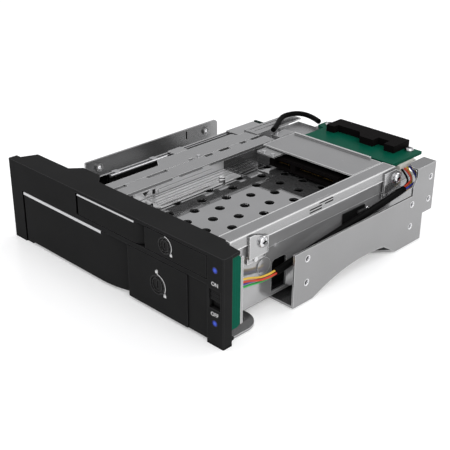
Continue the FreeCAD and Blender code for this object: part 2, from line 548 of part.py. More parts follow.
# ---------------------------------------------------------------- walls of the 3.5-inch bay
left_wall = Piece("cage_wall_left")
wall_out = "(bay35_left - steel)"
left_wall.pad("XZ", [[(wall_out + " - left_foot", PAN_TOP), ("bay35_left", PAN_TOP), ("bay35_left", "left_wall_top"),
                      (wall_out, "left_wall_top"), (wall_out, PAN_TOP + " + steel"),
                      (wall_out + " - left_foot", PAN_TOP + " + steel")]], "wall_front", WALL_BACK)
left_wall.pocket("XY", [rect(wall_out + " - 20", PAN_BACK, wall_out, WALL_BACK + " + 1")], "0", "6")
keep("cage_wall_left", left_wall.body)

right_wall = Piece("cage_wall_right")
right_wall.pad("XZ", [[(WALL_RIGHT, PAN_TOP), (WALL_RIGHT + " + steel", PAN_TOP),
                       (WALL_RIGHT + " + steel", TRAY_LOW + " - steel"),
                       (OUTER_WALL + " - steel", TRAY_LOW + " - steel"), (OUTER_WALL + " - steel", "outer_wall_low"),
                       (OUTER_WALL, "outer_wall_low"), (OUTER_WALL, TRAY_LOW), (WALL_RIGHT, TRAY_LOW)]],
               "wall_front", WALL_BACK)
right_wall.pocket("YZ", [rect("window_front", "window_low", "window_back", "window_high")],
                  OUTER_WALL + " - 2", OUTER_WALL + " + 1")
right_wall.pad("YZ", [("circle", "boss_y", "boss_z", "boss_dia")], OUTER_WALL + " - steel / 2", OUTER_WALL + " + 0.6")
right_wall.soften(lambda e, m: abs(e.tangentAt(e.FirstParameter).x) > 0.99 and abs(m.z - read("window_high")) < 0.1
                  and m.x > 60, "2")
keep("cage_wall_right", right_wall.body)

# ---------------------------------------------------------------- perforated tray of the 2.5-inch bay
tray = Piece("tray_25")
tray_back = "cage_depth - tray_rear_gap"
tray.pad("XY", [rect("tray_left", "tray_front", TRAY_RIGHT, tray_back)], TRAY_LOW, "tray_top")
tray.pad("YZ", [rect("tray_front", TRAY_LOW, RAIL_BACK, RAIL_LOW)], TRAY_RIGHT + " - thin_steel", TRAY_RIGHT)
tray.pad("YZ", [rect("51.3", TRAY_LOW, "103", RAIL_LOW)], "tray_left", "tray_left + thin_steel")
# lowered tabs reach out to the left wall of the bay below
tabs = [("tray_front", "24"), ("tab_front", "tab_back"), (tray_back + " - 22", tray_back)]
tab_top = "left_wall_top + thin_steel"
tray.pad("XY", [rect("bay35_left - tab_overlap", a, "tray_left + thin_steel", b) for a, b in tabs], "left_wall_top", tab_top)
tray.pad("XY", [rect("tray_left", a, "tray_left + thin_steel", b) for a, b in tabs], "left_wall_top", TRAY_LOW)
tray.pad("XY", [[("2.7", "96.2"), ("14", "96.2"), ("14", "89.8"), ("14.6", "89.8"), ("14.6", "96.8"), ("2.7", "96.8")]],
         "tray_top", "tray_top + 0.5")
rows = []
for j in range(int(SIZES["hole_rows"])):
    for i in range(5):
        rows.append(("circle", f"hole_first_x + hole_step * {i + 0.5 * (j % 2)}",
                     f"hole_first_y + hole_step * {j} * sqrt(3) / 2", "hole_dia"))
tray.pocket("XY", rows, TRAY_LOW + " - 1", "tray_top + 1")
keep("tray_25", tray.body)

# ---------------------------------------------------------------- top rails and plates
rail = Piece("top_rail_right")
rail_in = RAIL_OUT + " - right_rail_width"
rail.pad("XZ", [[(rail_in, RAIL_LOW), (RAIL_OUT + " - thin_steel", RAIL_LOW),
                 (RAIL_OUT + " - thin_steel", "right_rail_low"), (RAIL_OUT, "right_rail_low"),
                 (RAIL_OUT, "rail_top"), (rail_in, "rail_top")]], "tray_front", RAIL_BACK)
slots = [("64", "72.5", "36.9"), ("64", "72.5", "38.3"), ("74.5", "80.5", "38.3"), ("70.5", "80.5", "39.7")]
rail.pocket("YZ", [rect(a, z, b, z + " + 0.7") for a, b, z in slots], RAIL_OUT + " - 2", RAIL_OUT + " + 1")
keep("top_rail_right", rail.body)

left_rail = Piece("top_rail_left")
split = "left_rail_split - 0.1"
left_rail.pad("XY", [[("left_rail_nose", "tray_front"), (split, "tray_front"), (split, "112.6"), ("-13.2", "110.8"),
                      ("-19.1", "110.6"), ("-19.1", "104.3"), ("tray_left", "103"), ("tray_left", "51.3"),
                      ("left_rail_nose", "47.3")]], RAIL_LOW, "rail_top")
left_rail.pad("YZ", [rect("tray_front", "tray_top", "44", RAIL_LOW)], "left_rail_nose", "left_rail_nose + thin_steel")
left_rail.pad("YZ", [rect("tray_front", "tray_top", "112", RAIL_LOW)], split + " - thin_steel", split)
left_rail.pad("YZ", [rect("63", RAIL_LOW, "65.4", "rail_top + 0.4")], "left_rail_split - 1.4", "left_rail_split - 0.6")
keep("top_rail_left", left_rail.body)

cover = Piece("left_rail_cover")
cover.pad("XY", [rect("left_rail_split + 0.1", "tray_front", "left_rail_in", "cover_back")], RAIL_LOW, "rail_top")
cover.pad("YZ", [rect("tray_front", RAIL_LOW + " - 0.7", "106", RAIL_LOW)], "left_rail_in - thin_steel", "left_rail_in")
seam = [("tray_front - 1", "21"), ("33.5", "46.4"), ("71.4", "77"), ("81.6", "89"), ("96.6", "101"), ("104.5", "115")]
cover.pocket("XY", [rect("left_rail_split - 1", a, "left_rail_split + seam_slot", b) for a, b in seam],
             RAIL_LOW + " - 1", "rail_top + 1")
cover.pocket("YZ", [rect("42.5", RAIL_LOW + " - 1", "47.2", RAIL_LOW + " + 0.2"),
                    rect("62", RAIL_LOW + " - 1", "67", RAIL_LOW + " + 0.2")], "left_rail_in - 2", "left_rail_in + 1")
keep("left_rail_cover", cover.body)

plate = Piece("cross_plate")
plate_back = "plate_front + plate_depth"
plate.pad("XY", [rect("left_rail_in + 0.9", "plate_front", rail_in + " - 0.3", plate_back)], RAIL_LOW, "rail_top")
plate.pad("XY", [rect("left_rail_in + 2.4", plate_back + " - thin_steel", "50", plate_back)],
          "rail_top", "rail_top + plate_lip")
keep("cross_plate", plate.body)

shelf = Piece("rear_shelf")
shelf_right = TRAY_RIGHT + " - thin_steel - 0.2"
header_cut = BOARD_RIGHT + " - header_inset - 0.4"
shelf.pad("XY", [[("rear_board_left - 2", plate_back + " - 9"), (shelf_right, plate_back + " - 9"),
                  (shelf_right, HEADER_FRONT + " - 0.4"), (header_cut, HEADER_FRONT + " - 0.4"),
                  (header_cut, SHELF_BACK), ("rear_board_left - 2", SHELF_BACK),
                  ("rear_board_left - 2", SHELF_BACK + " - 4"), ("rear_board_left - 13.8", SHELF_BACK + " - 4"),
                  ("rear_board_left - 13.8", plate_back + " + 1.5"), ("rear_board_left - 2", plate_back + " + 1.5")]],
          "rear_board_low - thin_steel", "rear_board_low")
shelf.pad("YZ", [rect(RAIL_BACK + " + 0.3", "tray_top", HEADER_FRONT + " - 0.4", "rear_board_low")],
          shelf_right + " - thin_steel", shelf_right)
shelf.pad("YZ", [rect(RAIL_BACK + " + 0.3", "tray_top", SHELF_BACK, "rear_board_low")],
          "rear_board_left - 2", "rear_board_left - 2 + thin_steel")
keep("rear_shelf", shelf.body)

bracket = Piece("rear_bracket")
bracket.pad("XY", [rect("tray_left", "113", "-13", SHELF_BACK + " - 1.5")], RAIL_LOW, "rail_top")
bracket.pad("YZ", [rect("113", "tray_top", SHELF_BACK + " - 1.5", RAIL_LOW)], "tray_left", "tray_left + thin_steel")
for a in ("-20.6", "-17.4"):
    bracket.pocket("XY", [rect(a, "115", a + " + 0.8", SHELF_BACK + " - 4")], "rail_top - 0.4", "rail_top + 1")
keep("rear_bracket", bracket.body)

lug = Piece("bridge_tab")
lug_left, lug_near = "left_rail_in - 6", "plate_front + 13.5"
lug.pad("XY", [rect(lug_left, lug_near, "left_rail_in + 0.2", lug_near + " + 10.5")], RAIL_LOW, "rail_top")
lug.pad("XZ", [rect(lug_left, "tray_top", "left_rail_in + 0.2", RAIL_LOW)], lug_near, lug_near + " + thin_steel")
keep("bridge_tab", lug.body)

# ---------------------------------------------------------------- rear board and its socket
rear_board = Piece("rear_board")
board_back = "cage_depth - socket_over"
notch = "rear_board_left + board_notch"
rear_board.pad("XY", [[(notch, board_back + " - rear_board_deep"), (BOARD_RIGHT, board_back + " - rear_board_deep"),
                       (BOARD_RIGHT, board_back), ("rear_board_left", board_back),
                       ("rear_board_left", board_back + " - 7.2"), (notch, board_back + " - 8.6")]],
               "rear_board_low", BOARD_TOP)
keep("rear_board", rear_board.body)

socket = Piece("rear_socket")
socket_right = "socket_left + socket_length"
socket_front = "cage_depth - socket_deep"
lug_front = socket_front + " - socket_lug"
socket.pad("XY", [[("socket_left", socket_front + " - 3.5"), ("socket_left + 5", socket_front + " - 3.5"),
                   ("socket_left + 5", socket_front), ("socket_left + 19", socket_front),
                   ("socket_left + 23", lug_front), (socket_right + " - 13", lug_front),
                   (socket_right + " - 13", socket_front), (socket_right + " - 6", socket_front),
                   (socket_right + " - 6", lug_front), (socket_right, lug_front),
                   (socket_right, "cage_depth"), ("socket_left", "cage_depth")]], BOARD_TOP, "socket_top")
socket.pocket("XZ", [rect("socket_left + 3", BOARD_TOP + " + 1", "socket_left + 13", "socket_top - 0.8"),
                     rect("socket_left + 16", BOARD_TOP + " + 1", socket_right + " - 3", "socket_top - 0.8")],
              "cage_depth - 5", "cage_depth + 1")
keep("rear_socket", socket.body)

# ---------------------------------------------------------------- drive connectors and their boards


def drive_plug(label, middle, front, low, back):
    """A 22-pin drive connector: a block with a long and a short slot in its face."""
    piece = Piece(label)
    piece.pad("XZ", [rect(middle + " - plug_length / 2", low, middle + " + plug_length / 2", low + " + plug_tall")],
              front, back)
    start = middle + " - plug_length / 2"
    piece.pocket("XZ", [rect(start + " + 3", low + " + 1.6", start + " + 14", low + " + plug_tall - 1.6"),
                        rect(start + " + 17", low + " + 1.6", start + " + 41", low + " + plug_tall - 1.6")],
                 front + " - 1", front + " + 4")
    keep(label, piece.body)


upper_board_front = "upper_plug_front + plug_deep"
drive_plug("connector_25", "upper_plug_x", "upper_plug_front", "upper_plug_low", upper_board_front)
drive_plug("connector_35", "lower_plug_x", "cage_depth - board_thick - lower_plug_deep", "lower_plug_low",
           "cage_depth - board_thick")

upper_back = Piece("backplane_25")
upper_back.pad("XZ", [rect("upper_plug_x - plug_length / 2 - 1", "tray_top", rail_in + " + 1", RAIL_LOW + " - 0.2")],
               upper_board_front, upper_board_front + " + board_thick")
keep("backplane_25", upper_back.body)
lower_back = Piece("backplane_35")
lower_back.pad("XZ", [rect("bay35_left - steel", "back_board_low", WALL_RIGHT + " + steel", "back_board_high")],
               "cage_depth - board_thick", "cage_depth")
keep("backplane_35", lower_back.body)
clip = Piece("connector_clip")
clip.pad("XY", [rect("1.4", "97.4", "12.9", upper_board_front)], CLIP_LOW, CLIP_LOW + " + thin_steel")
keep("connector_clip", clip.body)

# ---------------------------------------------------------------- ejector sliders
slider = Piece("ejector_25")
slider_low = "tray_top + slider_gap"
slider_top = "tray_top + slider_gap + slider_thick"
slider.pad("XY", [[("slider_left", "slider_front - 5"), ("slider_left + 6", "slider_front - 5"),
                   ("slider_left + 6", "slider_front + 2"), ("slider_right - 2.6", "slider_front - 1"),
                   ("slider_right", "slider_front + 1.4"), ("slider_right", "slider_back"),
                   ("slider_left", "slider_back")]], slider_low, slider_top)
slider.pad("YZ", [rect("slider_front - 5", slider_low, "slider_back", slider_top + " + slider_web")],
           "slider_left", "slider_left + slider_thick")
for a, w in (("slider_left + 1.6", "0.7"), ("slider_left + 3.4", "1.4"), ("slider_left + 6.4", "0.8"),
             ("slider_left + 8.2", "1")):
    slider.pad("XY", [rect(a, "slider_front + 2.4", f"{a} + {w}", "slider_back - 0.6")], slider_top,
               slider_top + " + slider_rib")
slider.pocket("YZ", [[("slider_front + 0.6", "34.3"), ("slider_front + 4.8", "34.3"), ("slider_front + 2.2", "32")],
                     rect("slider_front + 6.6", "31.6", "slider_front + 8.6", "34.3")],
              "slider_left - 1", "slider_left + slider_thick + 0.6")
slider.pad("YZ", [[("40.6", "31.7"), ("75", "31.7", "0.8", "right"), ("75.8", "32.5", "0.8", "right"), ("75", "33.3"),
                    ("40.6", "33.3", "0.8", "right"), ("39.8", "32.5", "0.8", "right")]],
           "slider_left + slider_thick", "slider_left + slider_thick + 0.3")
slider.pocket("XY", [rect("slider_right - 2.3", "slider_front + 2.4", "slider_right - 0.9", "64"),
                     [("slider_right - 6.6", "75.2"), ("slider_right - 1.2", "69.8"), ("slider_right + 1", "72"),
                      ("slider_right - 4.4", "77.4")]], slider_low + " - 1", slider_top + " + 1")
keep("ejector_25", slider.body)

guide = Piece("slider_guide")
guide.pad("XY", [rect("slider_left + 0.4", "slider_back + 1.5", "slider_right - 0.7", "upper_plug_front")],
          "tray_top", "tray_top + slider_thick")
for a in ("slider_left + 2.8", "slider_left + 5.6", "slider_left + 8.4"):
    guide.pad("XY", [rect(a, "slider_back + 3", a + " + 1.2", "upper_plug_front - 2")], "tray_top + slider_thick",
              "tray_top + slider_thick + 0.3")
keep("slider_guide", guide.body)

bar = Piece("ejector_35")
bar_left = "bay35_left + slider_gap"
bar_end = "cage_depth - bar_rear_gap"
rod_x = bar_left + " + bar_width"
rod_z = "(left_wall_top + thin_steel + bar_rise)"
bar.pad("YZ", [rect("bar_front + 3", "bar_low", bar_end, "left_wall_top - 0.4")], bar_left, bar_left + " + bar_thick")
bar.pad("XZ", [rect(bar_left, "bar_low", "bay35_left + 6", "bar_low + 4")], bar_end + " - thin_steel", bar_end)
for a in ("bar_front + 5", "rod_back - 8"):
    bar.pad("YZ", [rect(a, "bar_low + 8", a + " + 3", rod_z)], bar_left, bar_left + " + bar_thick")
    bar.pad("XY", [rect(bar_left, a, rod_x, a + " + 3")], rod_z + " - thin_steel", rod_z)
bar.pad("XZ", [("circle", rod_x, rod_z, "bar_roll")], "bar_front", "rod_back")
keep("ejector_35", bar.body)


# ---------------------------------------------------------------- ears, screws and rivets
def ear(label, front, width, flat):
    """A joggled ear: its foot lies on the cage wall, its sloping head on the right rail."""
    piece = Piece(label)
    back = f"{front} + {width}"
    piece.pad("YZ", [rect(front, "ear_low", back, "ear_step + 1")], OUTER_WALL, OUTER_WALL + " + steel")
    piece.pad("YZ", [[(front, "ear_step"), (back, "ear_step"), (back, "ear_screw_z + 1.4"),
                      (f"{front} + {flat}", "ear_top"), (front, "ear_top")]], RAIL_OUT, RAIL_OUT + " + steel")
    piece.pad("YZ", [rect(front, "ear_step", back, "ear_step + 1")], OUTER_WALL + " + steel / 2",
              RAIL_OUT + " + steel / 2")
    keep(label, piece.body)


ear("side_ear_front", "ear_front_y", "ear_width", "2.8")
ear("side_ear_rear", "rear_ear_y", "rear_ear_width", "9")
screw_spots = [("front", "ear_front_y + 7.6"), ("rear", "rear_ear_y + 9.4")]
ear_heads = [cylinder(f"ear_screw_{name}", "X", RAIL_OUT + " + steel", y, "ear_screw_z", "pan_head_dia", "pan_head_tall")
             for name, y in screw_spots]
keep("ear_screws", group("ear_screws_set", ear_heads))
rivets = [cylinder(f"ear_rivet_{name}", "X", OUTER_WALL + " + steel", y, "rivet_z", "rivet_dia", "0.8")
          for name, y in (("front", "ear_front_y + 4.6"), ("rear", "rear_ear_y + 5"))]
keep("ear_rivets", group("ear_rivets_set", rivets))
board_heads = [cylinder(f"board_screw_{name}", "Z", x, "cage_depth - board_screw_inset - socket_over", BOARD_TOP,
                        "board_screw_dia", "pan_head_tall")
               for name, x in (("left", "rear_board_left + 4.8"), ("right", BOARD_RIGHT + " - 5.2"))]
keep("board_screws", group("board_screws_set", board_heads))
plate_rivets = [cylinder(f"plate_rivet_{i}", "Z", x, y, z, "1.9", "0.7")
                for i, (x, y, z) in enumerate((("left_rail_split - 1.2", "69.4", "rail_top"),
                                               ("-6", "120.8", "rail_top"), ("5", "98.8", CLIP_LOW + " + thin_steel"),
                                               ("10.8", "98.8", CLIP_LOW + " + thin_steel")))]
keep("plate_rivets", group("plate_rivets_set", plate_rivets))


# ---------------------------------------------------------------- wires
def tube(label, points, diameter):
    """A round cord along straight runs joined by tangent arcs, each as large as its runs allow."""
    vectors = [FreeCAD.Vector(*p) for p in points]
    edges, start, radii = [], vectors[0], []
    for before, here, after in zip(vectors, vectors[1:], vectors[2:]):
        way_in = (here - before).normalize()
        way_out = (after - here).normalize()
        turn = way_in.getAngle(way_out)
        reach = 0.45 * min((here - before).Length, (after - here).Length)
        radii.append(reach / math.tan(turn / 2))
        first = here - way_in * reach
        last = here + way_out * reach
        bisector = (way_out - way_in).normalize()
        centre_gap = radii[-1] / math.cos(turn / 2)
        middle = here + bisector * (centre_gap - radii[-1])
        edges.append(Part.LineSegment(start, first).toShape())
        edges.append(Part.Arc(first, middle, last).toShape())
        start = last
    edges.append(Part.LineSegment(start, vectors[-1]).toShape())
    path = Part.Wire(edges)
    heading = (vectors[1] - vectors[0]).normalize()
    section = Part.Wire(Part.Circle(vectors[0], heading, diameter / 2).toShape())
    solid = path.makePipeShell([section], True, True)
    cord = doc.addObject("Part::Feature", "cord_" + label)
    cord.Shape = solid
    straight = math.pi * diameter ** 2 / 4 * path.Length
    print(f"{label}: length {path.Length:.1f}, radii {min(radii):.1f} to {max(radii):.1f}, "
          f"volume {solid.Volume:.1f} of {straight:.1f}")
    keep(label, cord)


def bundle(route, end, radius, angles):
    """Points spread round the end of a route, in the plane of its end face, and the way it faces."""
    here = FreeCAD.Vector(*route[end])
    inner = FreeCAD.Vector(*route[1 if end == 0 else -2])
    away = (here - inner).normalize()
    side = away.cross(FreeCAD.Vector(0, 0, 1)).normalize()
    rise = side.cross(away)
    spots = []
    for angle in angles:
        turn = math.radians(angle)
        spots.append(here + side * (radius * math.cos(turn)) + rise * (radius * math.sin(turn)))
    return spots, away


wire = read("wire_dia")
face_y = read("front_board_back") + 0.9
pin_x = value_of(BOARD_IN) - 2
sleeve_route = [(66.6, 39.0, 18.4), (66.9, 47.0, 19.6), (67.8, 62, 22.0), (68.3, 84, 24.6), (68.4, 110, 27.2),
                (68.4, 130.5, 29.6)]
tube("cable_sleeve", sleeve_route, read("sleeve_dia"))
spots, away = bundle(sleeve_route, 0, 0.88, (90, 180, 270, 0))
for colour, top, out, spot in (("yellow", 25.2, 0, spots[0]), ("red", 23.9, 1, spots[1]),
                               ("blue", 22.6, -1, spots[3]), ("green", 21.3, 0, spots[2])):
    tube(f"wire_{colour}", [(pin_x, face_y, top), (pin_x + out * 0.2, face_y + 5.5, top - 0.3),
                            tuple(spot + away * 6.5), tuple(spot)], wire)
spots, away = bundle(sleeve_route, -1, 1.06, (162, 90, 234, 18, 306))
pin_x = value_of(BOARD_RIGHT + " - header_inset + header_wide") + 0.6
pin_y = value_of(HEADER_FRONT) + 0.9
for i, colour in enumerate(("black", "crimson", "amber", "navy", "ochre")):
    spot = spots[i]
    top = FreeCAD.Vector(pin_x, pin_y + 2.1 * i, 38)
    tube(f"wire_rear_{colour}", [tuple(spot), tuple(spot + away * 4),
                                 (spot.x + 0.2 * i, spot.y + 5 + 1.9 * i, spot.z + 3.6 - 0.3 * i),
                                 tuple(top)], wire)
loop_route = [(0.6, 147.0, 42.8), (-7, 150.9, 42.6), (-15.5, 149.6, 43.1), (-18.6, 141, 43.1), (-15.4, 132.8, 42.9),
              (-11.2, 126.6, 42.7), (-8.4, 120.4, 42.6)]
tube("loop_cable", loop_route, read("loop_dia"))

rear_header = Piece("rear_header")
header_left = BOARD_RIGHT + " - header_inset"
rear_header.pad("XY", [rect(header_left, HEADER_FRONT, header_left + " + header_wide", HEADER_FRONT + " + header_length")],
                "header_low", "rear_board_low")
keep("rear_header", rear_header.body)

# ---------------------------------------------------------------- check and write
doc.recompute()
faults = [o.Label for o in doc.Objects if "Invalid" in o.State or "Error" in o.State]
for label, thing in NODES.items():
    if thing.Shape.isNull() or not thing.Shape.isValid() or thing.Shape.Volume <= 0:
        faults.append(label)
if faults:
    raise RuntimeError("failed: " + ", ".join(faults))
os.makedirs("parts", exist_ok=True)
for label, thing in NODES.items():
    thing.Shape.exportStep(f"parts/{label}.step")
box_all = Part.makeCompound([thing.Shape for thing in NODES.values()]).BoundBox
print(len(NODES), "pieces", box_all)
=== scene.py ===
"""A hot swap drive cage for one half-height 5.25-inch bay.

It takes a 2.5-inch and a 3.5-inch drive behind two lockable doors. Most of it is folded
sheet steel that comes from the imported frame, and the sections below follow the cage as it
is put together: cables first, then the front, the metalwork, the boards and the sockets.
"""

import math

import bmesh
import bpy
from mathutils import Matrix, Quaternion, Vector


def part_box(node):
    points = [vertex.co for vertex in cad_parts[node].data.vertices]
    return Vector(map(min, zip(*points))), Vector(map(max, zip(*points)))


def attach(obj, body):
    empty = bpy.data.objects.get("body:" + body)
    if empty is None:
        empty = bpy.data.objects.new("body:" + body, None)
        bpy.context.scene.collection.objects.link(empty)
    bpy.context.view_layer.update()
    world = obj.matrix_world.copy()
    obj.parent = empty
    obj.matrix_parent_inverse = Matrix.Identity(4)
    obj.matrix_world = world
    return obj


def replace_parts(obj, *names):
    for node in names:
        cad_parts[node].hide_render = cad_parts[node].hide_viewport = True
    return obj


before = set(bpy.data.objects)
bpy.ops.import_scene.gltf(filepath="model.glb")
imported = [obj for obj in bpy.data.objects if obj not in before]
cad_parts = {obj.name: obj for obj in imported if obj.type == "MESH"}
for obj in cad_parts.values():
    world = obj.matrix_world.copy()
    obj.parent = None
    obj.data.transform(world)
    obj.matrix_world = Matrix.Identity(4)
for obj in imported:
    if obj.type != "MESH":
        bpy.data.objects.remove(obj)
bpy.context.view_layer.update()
MM = 0.001

# ------------------------------------------------------------------ camera
# A long lens above the front right corner, so that the front, the top and the
# right side of the cage all show.
turn, tilt, roll = math.radians(44.434), math.radians(26.206), math.radians(0.376)
ahead = Vector((-math.sin(turn) * math.cos(tilt), math.cos(turn) * math.cos(tilt),
                -math.sin(tilt)))
camera = bpy.data.objects.new("camera", bpy.data.cameras.new("camera"))
bpy.context.scene.collection.objects.link(camera)
camera.data.lens = 74.10
camera.data.sensor_width = 36
camera.data.clip_start, camera.data.clip_end = 0.02, 20
camera.location = (0.295604, -0.302498, 0.212854)
camera.rotation_mode = "QUATERNION"
camera.rotation_quaternion = ahead.to_track_quat("-Z", "Y") @ Quaternion((0, 0, 1), roll)
bpy.context.scene.camera = camera

# ------------------------------------------------------------------ light cables
# Four thin wires leave the switch board and run into a black sleeve along the right side.
# At its rear five wires fan out to a header under the rear board. A short black cable
# loops from the rear board down beside the left rail. All are soft insulated copper.


class Tone:
    """An output inside a finish. Sums written with it become Math nodes."""

    def __init__(self, finish, socket):
        self.finish, self.socket = finish, socket

    def __add__(self, other):
        return self.finish.maths("ADD", self, other)

    def __sub__(self, other):
        return self.finish.maths("SUBTRACT", self, other)

    def __rsub__(self, other):
        return self.finish.maths("SUBTRACT", other, self)

    def __mul__(self, other):
        return self.finish.maths("MULTIPLY", self, other)

    def __gt__(self, other):
        return self.finish.maths("GREATER_THAN", self, other)

    def __lt__(self, other):
        return self.finish.maths("LESS_THAN", self, other)


class Finish:
    """A procedural finish on one Principled shader, with its patterns on object coordinates."""

    def __init__(self, name, **plain):
        self.material = bpy.data.materials.new(name)
        self.material.use_nodes = True
        self.tree = self.material.node_tree
        self.surface = self.tree.nodes["Principled BSDF"]
        self.place = self.add("ShaderNodeTexCoord", output="Object")
        self.wear({socket.replace("_", " ").title().replace("Ior", "IOR"): value
                   for socket, value in plain.items()})

    def add(self, kind, sockets=None, output=0, **settings):
        """Add a node and give the tone of one of its outputs."""
        node = self.tree.nodes.new(kind)
        for setting, value in settings.items():
            setattr(node, setting, value)
        self.feed(node, sockets or {})
        return Tone(self, node.outputs[output])

    def feed(self, node, sockets):
        """Link tones to a node's inputs, and set the inputs that have a plain value."""
        for name, value in sockets.items():
            if isinstance(value, Tone):
                self.tree.links.new(value.socket, node.inputs[name])
            else:
                node.inputs[name].default_value = value

    def wear(self, sockets):
        """Feed the shader's own sockets."""
        self.feed(self.surface, sockets)

    def weather(self, pattern, low, high, gloss, spread):
        """Let the colour follow a pattern, and the roughness, from gloss to gloss + spread."""
        self.wear({"Base Color": self.between(low, high, pattern),
                   "Roughness": pattern * spread + gloss})

    def maths(self, operation, first, second, clamped=False):
        return self.add("ShaderNodeMath", {0: first, 1: second},
                        operation=operation, use_clamp=clamped)

    def blur(self, size, stretch=(1, 1, 1), detail=3.0):
        """Cloudy noise whose spots are about size metres across, drawn out along an axis."""
        spot = self.add("ShaderNodeMapping",
                        {"Vector": self.place, "Scale": [1 / s for s in stretch]})
        return self.add("ShaderNodeTexNoise",
                        {"Vector": spot, "Scale": 1 / size, "Detail": detail})

    def between(self, low, high, mask):
        """One colour or tone where the mask is 0 and another where it is 1."""
        low, high = (end if isinstance(end, Tone) else (*end, 1) for end in (low, high))
        return self.add("ShaderNodeMix", {0: mask, 6: low, 7: high}, 2, data_type="RGBA")

    def edges(self, width, gain):
        """About 1 along the sharp edges, within a width in metres, and 0 on flat faces."""
        rounded = self.add("ShaderNodeBevel", {"Radius": width}, samples=8)
        flat = self.add("ShaderNodeNewGeometry", output=3)
        agree = self.add("ShaderNodeVectorMath", {0: rounded, 1: flat}, 1,
                         operation="DOT_PRODUCT")
        return self.maths("MULTIPLY", 1 - agree, gain, True)

    def openness(self, reach):
        """1 on open faces and less in corners and gaps, within a reach in metres."""
        return self.add("ShaderNodeAmbientOcclusion", {"Distance": reach}, 1, samples=12)

    def along(self, axis):
        """The place along an axis, which is 0 for X and 2 for Z."""
        return self.add("ShaderNodeSeparateXYZ", {0: self.place}, axis)

    def bump(self, height, strength, distance):
        return self.add("ShaderNodeBump",
                        {"Height": height, "Strength": strength, "Distance": distance})

    def on(self, *pieces):
        """Put this finish on pieces, or on nodes of the frame given by name."""
        for piece in pieces:
            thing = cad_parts[piece] if isinstance(piece, str) else piece
            thing.data.materials.clear()
            thing.data.materials.append(self.material)


def insulation(name, colour, shine=0.35):
    """Soft vinyl, a little darker and duller where fingers have pulled it."""
    finish = Finish(name, specular_ior_level=shine)
    pulled = tuple(0.72 * c for c in colour)
    finish.weather(finish.blur(0.003), pulled, colour, gloss=0.32, spread=0.15)
    finish.wear({"Normal": finish.bump(finish.blur(0.0006), 0.12, 0.0001)})
    return finish


def stand(name, data):
    """Make an object of some data and add it to the scene."""
    thing = bpy.data.objects.new(name, data)
    bpy.context.scene.collection.objects.link(thing)
    return thing


def lay(name, route, diameter, finish):
    """A round cable on a smooth line through its route, in millimetres of the frame."""
    line = bpy.data.curves.new(name, "CURVE")
    line.dimensions = "3D"
    line.bevel_depth = diameter * MM / 2
    line.bevel_resolution = 5
    line.use_fill_caps = True
    spline = line.splines.new("NURBS")
    spline.points.add(len(route) - 1)
    for point, (x, y, z) in zip(spline.points, route):
        point.co = (x * MM, y * MM, z * MM, 1)
    spline.order_u = 3
    spline.use_endpoint_u = True
    spline.resolution_u = 16
    cable = stand(name, line)
    finish.on(cable)
    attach(cable, "chassis")
    return cable


# each jacket has its finish and the name of a slot
sheath = insulation("black_sheath", (0.004, 0.004, 0.004), 0.02)
jackets = {
    "yellow": (insulation("yellow_insulation", (0.80, 0.52, 0.06)), "wire_yellow"),
    "red": (insulation("red_insulation", (0.62, 0.05, 0.02)), "wire_red"),
    "blue": (insulation("blue_insulation", (0.04, 0.05, 0.36)), "wire_blue"),
    "green": (insulation("green_insulation", (0.03, 0.42, 0.08)), "wire_green"),
    "ochre": (insulation("ochre_insulation", (0.42, 0.25, 0.04)), "wire_yellow"),
    "black": (sheath, "plug"),
}
wire_diameter = 1.0
wire_routes = {
    "yellow": ("yellow", [(68.8, -64.6, 25.2), (68.8, -59.1, 24.9),
                          (66.35, -44.55, 18.31), (66.6, -38.13, 19.27)]),
    "red": ("red", [(68.8, -64.6, 23.9), (69.0, -59.1, 23.6),
                    (67.24, -44.46, 17.44), (67.48, -38.03, 18.4)]),
    "blue": ("blue", [(68.8, -64.6, 22.6), (68.6, -59.1, 22.3),
                      (65.48, -44.39, 17.44), (65.72, -37.97, 18.4)]),
    "green": ("green", [(68.8, -64.6, 21.3), (68.8, -59.1, 21.0),
                        (66.36, -44.29, 16.57), (66.6, -37.87, 17.53)]),
    "rear_crimson": ("red", [(68.4, 53.38, 30.65), (68.4, 57.35, 31.12),
                             (68.6, 60.28, 33.95), (64.4, 58.5, 38.0)]),
    "rear_amber": ("yellow", [(67.78, 53.6, 28.75), (67.78, 57.57, 29.21),
                              (68.18, 62.4, 31.75), (64.4, 60.6, 38.0)]),
    "rear_navy": ("blue", [(69.41, 53.46, 29.93), (69.41, 57.43, 30.39),
                           (70.01, 64.16, 32.63), (64.4, 62.7, 38.0)]),
    "rear_ochre": ("ochre", [(69.02, 53.6, 28.75), (69.02, 57.57, 29.21),
                             (69.82, 66.2, 31.15), (64.4, 64.8, 38.0)]),
    "rear_black": ("black", [(67.39, 53.46, 29.93), (67.39, 57.43, 30.39),
                             (67.39, 58.46, 33.53), (64.4, 56.4, 38.0)]),
}
for colour, (jacket, route) in wire_routes.items():
    finish, slot = jackets[jacket]
    wire = lay(f"lead_{colour}", route, wire_diameter, finish)
    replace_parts(wire, f"wire_{colour}")

sleeve_route = [(66.6, -38.0, 18.4), (66.9, -30.0, 19.6), (67.8, -15.0, 22.0),
                (68.3, 7.0, 24.6), (68.4, 33.0, 27.2), (68.4, 53.5, 29.6)]
sleeve = lay("side_sleeve", sleeve_route, 3.4, sheath)
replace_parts(sleeve, "cable_sleeve")

loop_route = [(0.6, 70.0, 42.8), (-7.0, 73.9, 42.6), (-15.5, 72.6, 43.1), (-18.6, 64.0, 43.1),
              (-15.4, 55.8, 42.9), (-11.2, 49.6, 42.7), (-8.4, 43.4, 42.6)]
loop = lay("rear_loop", loop_route, 2.8, sheath)
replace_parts(loop, "loop_cable")
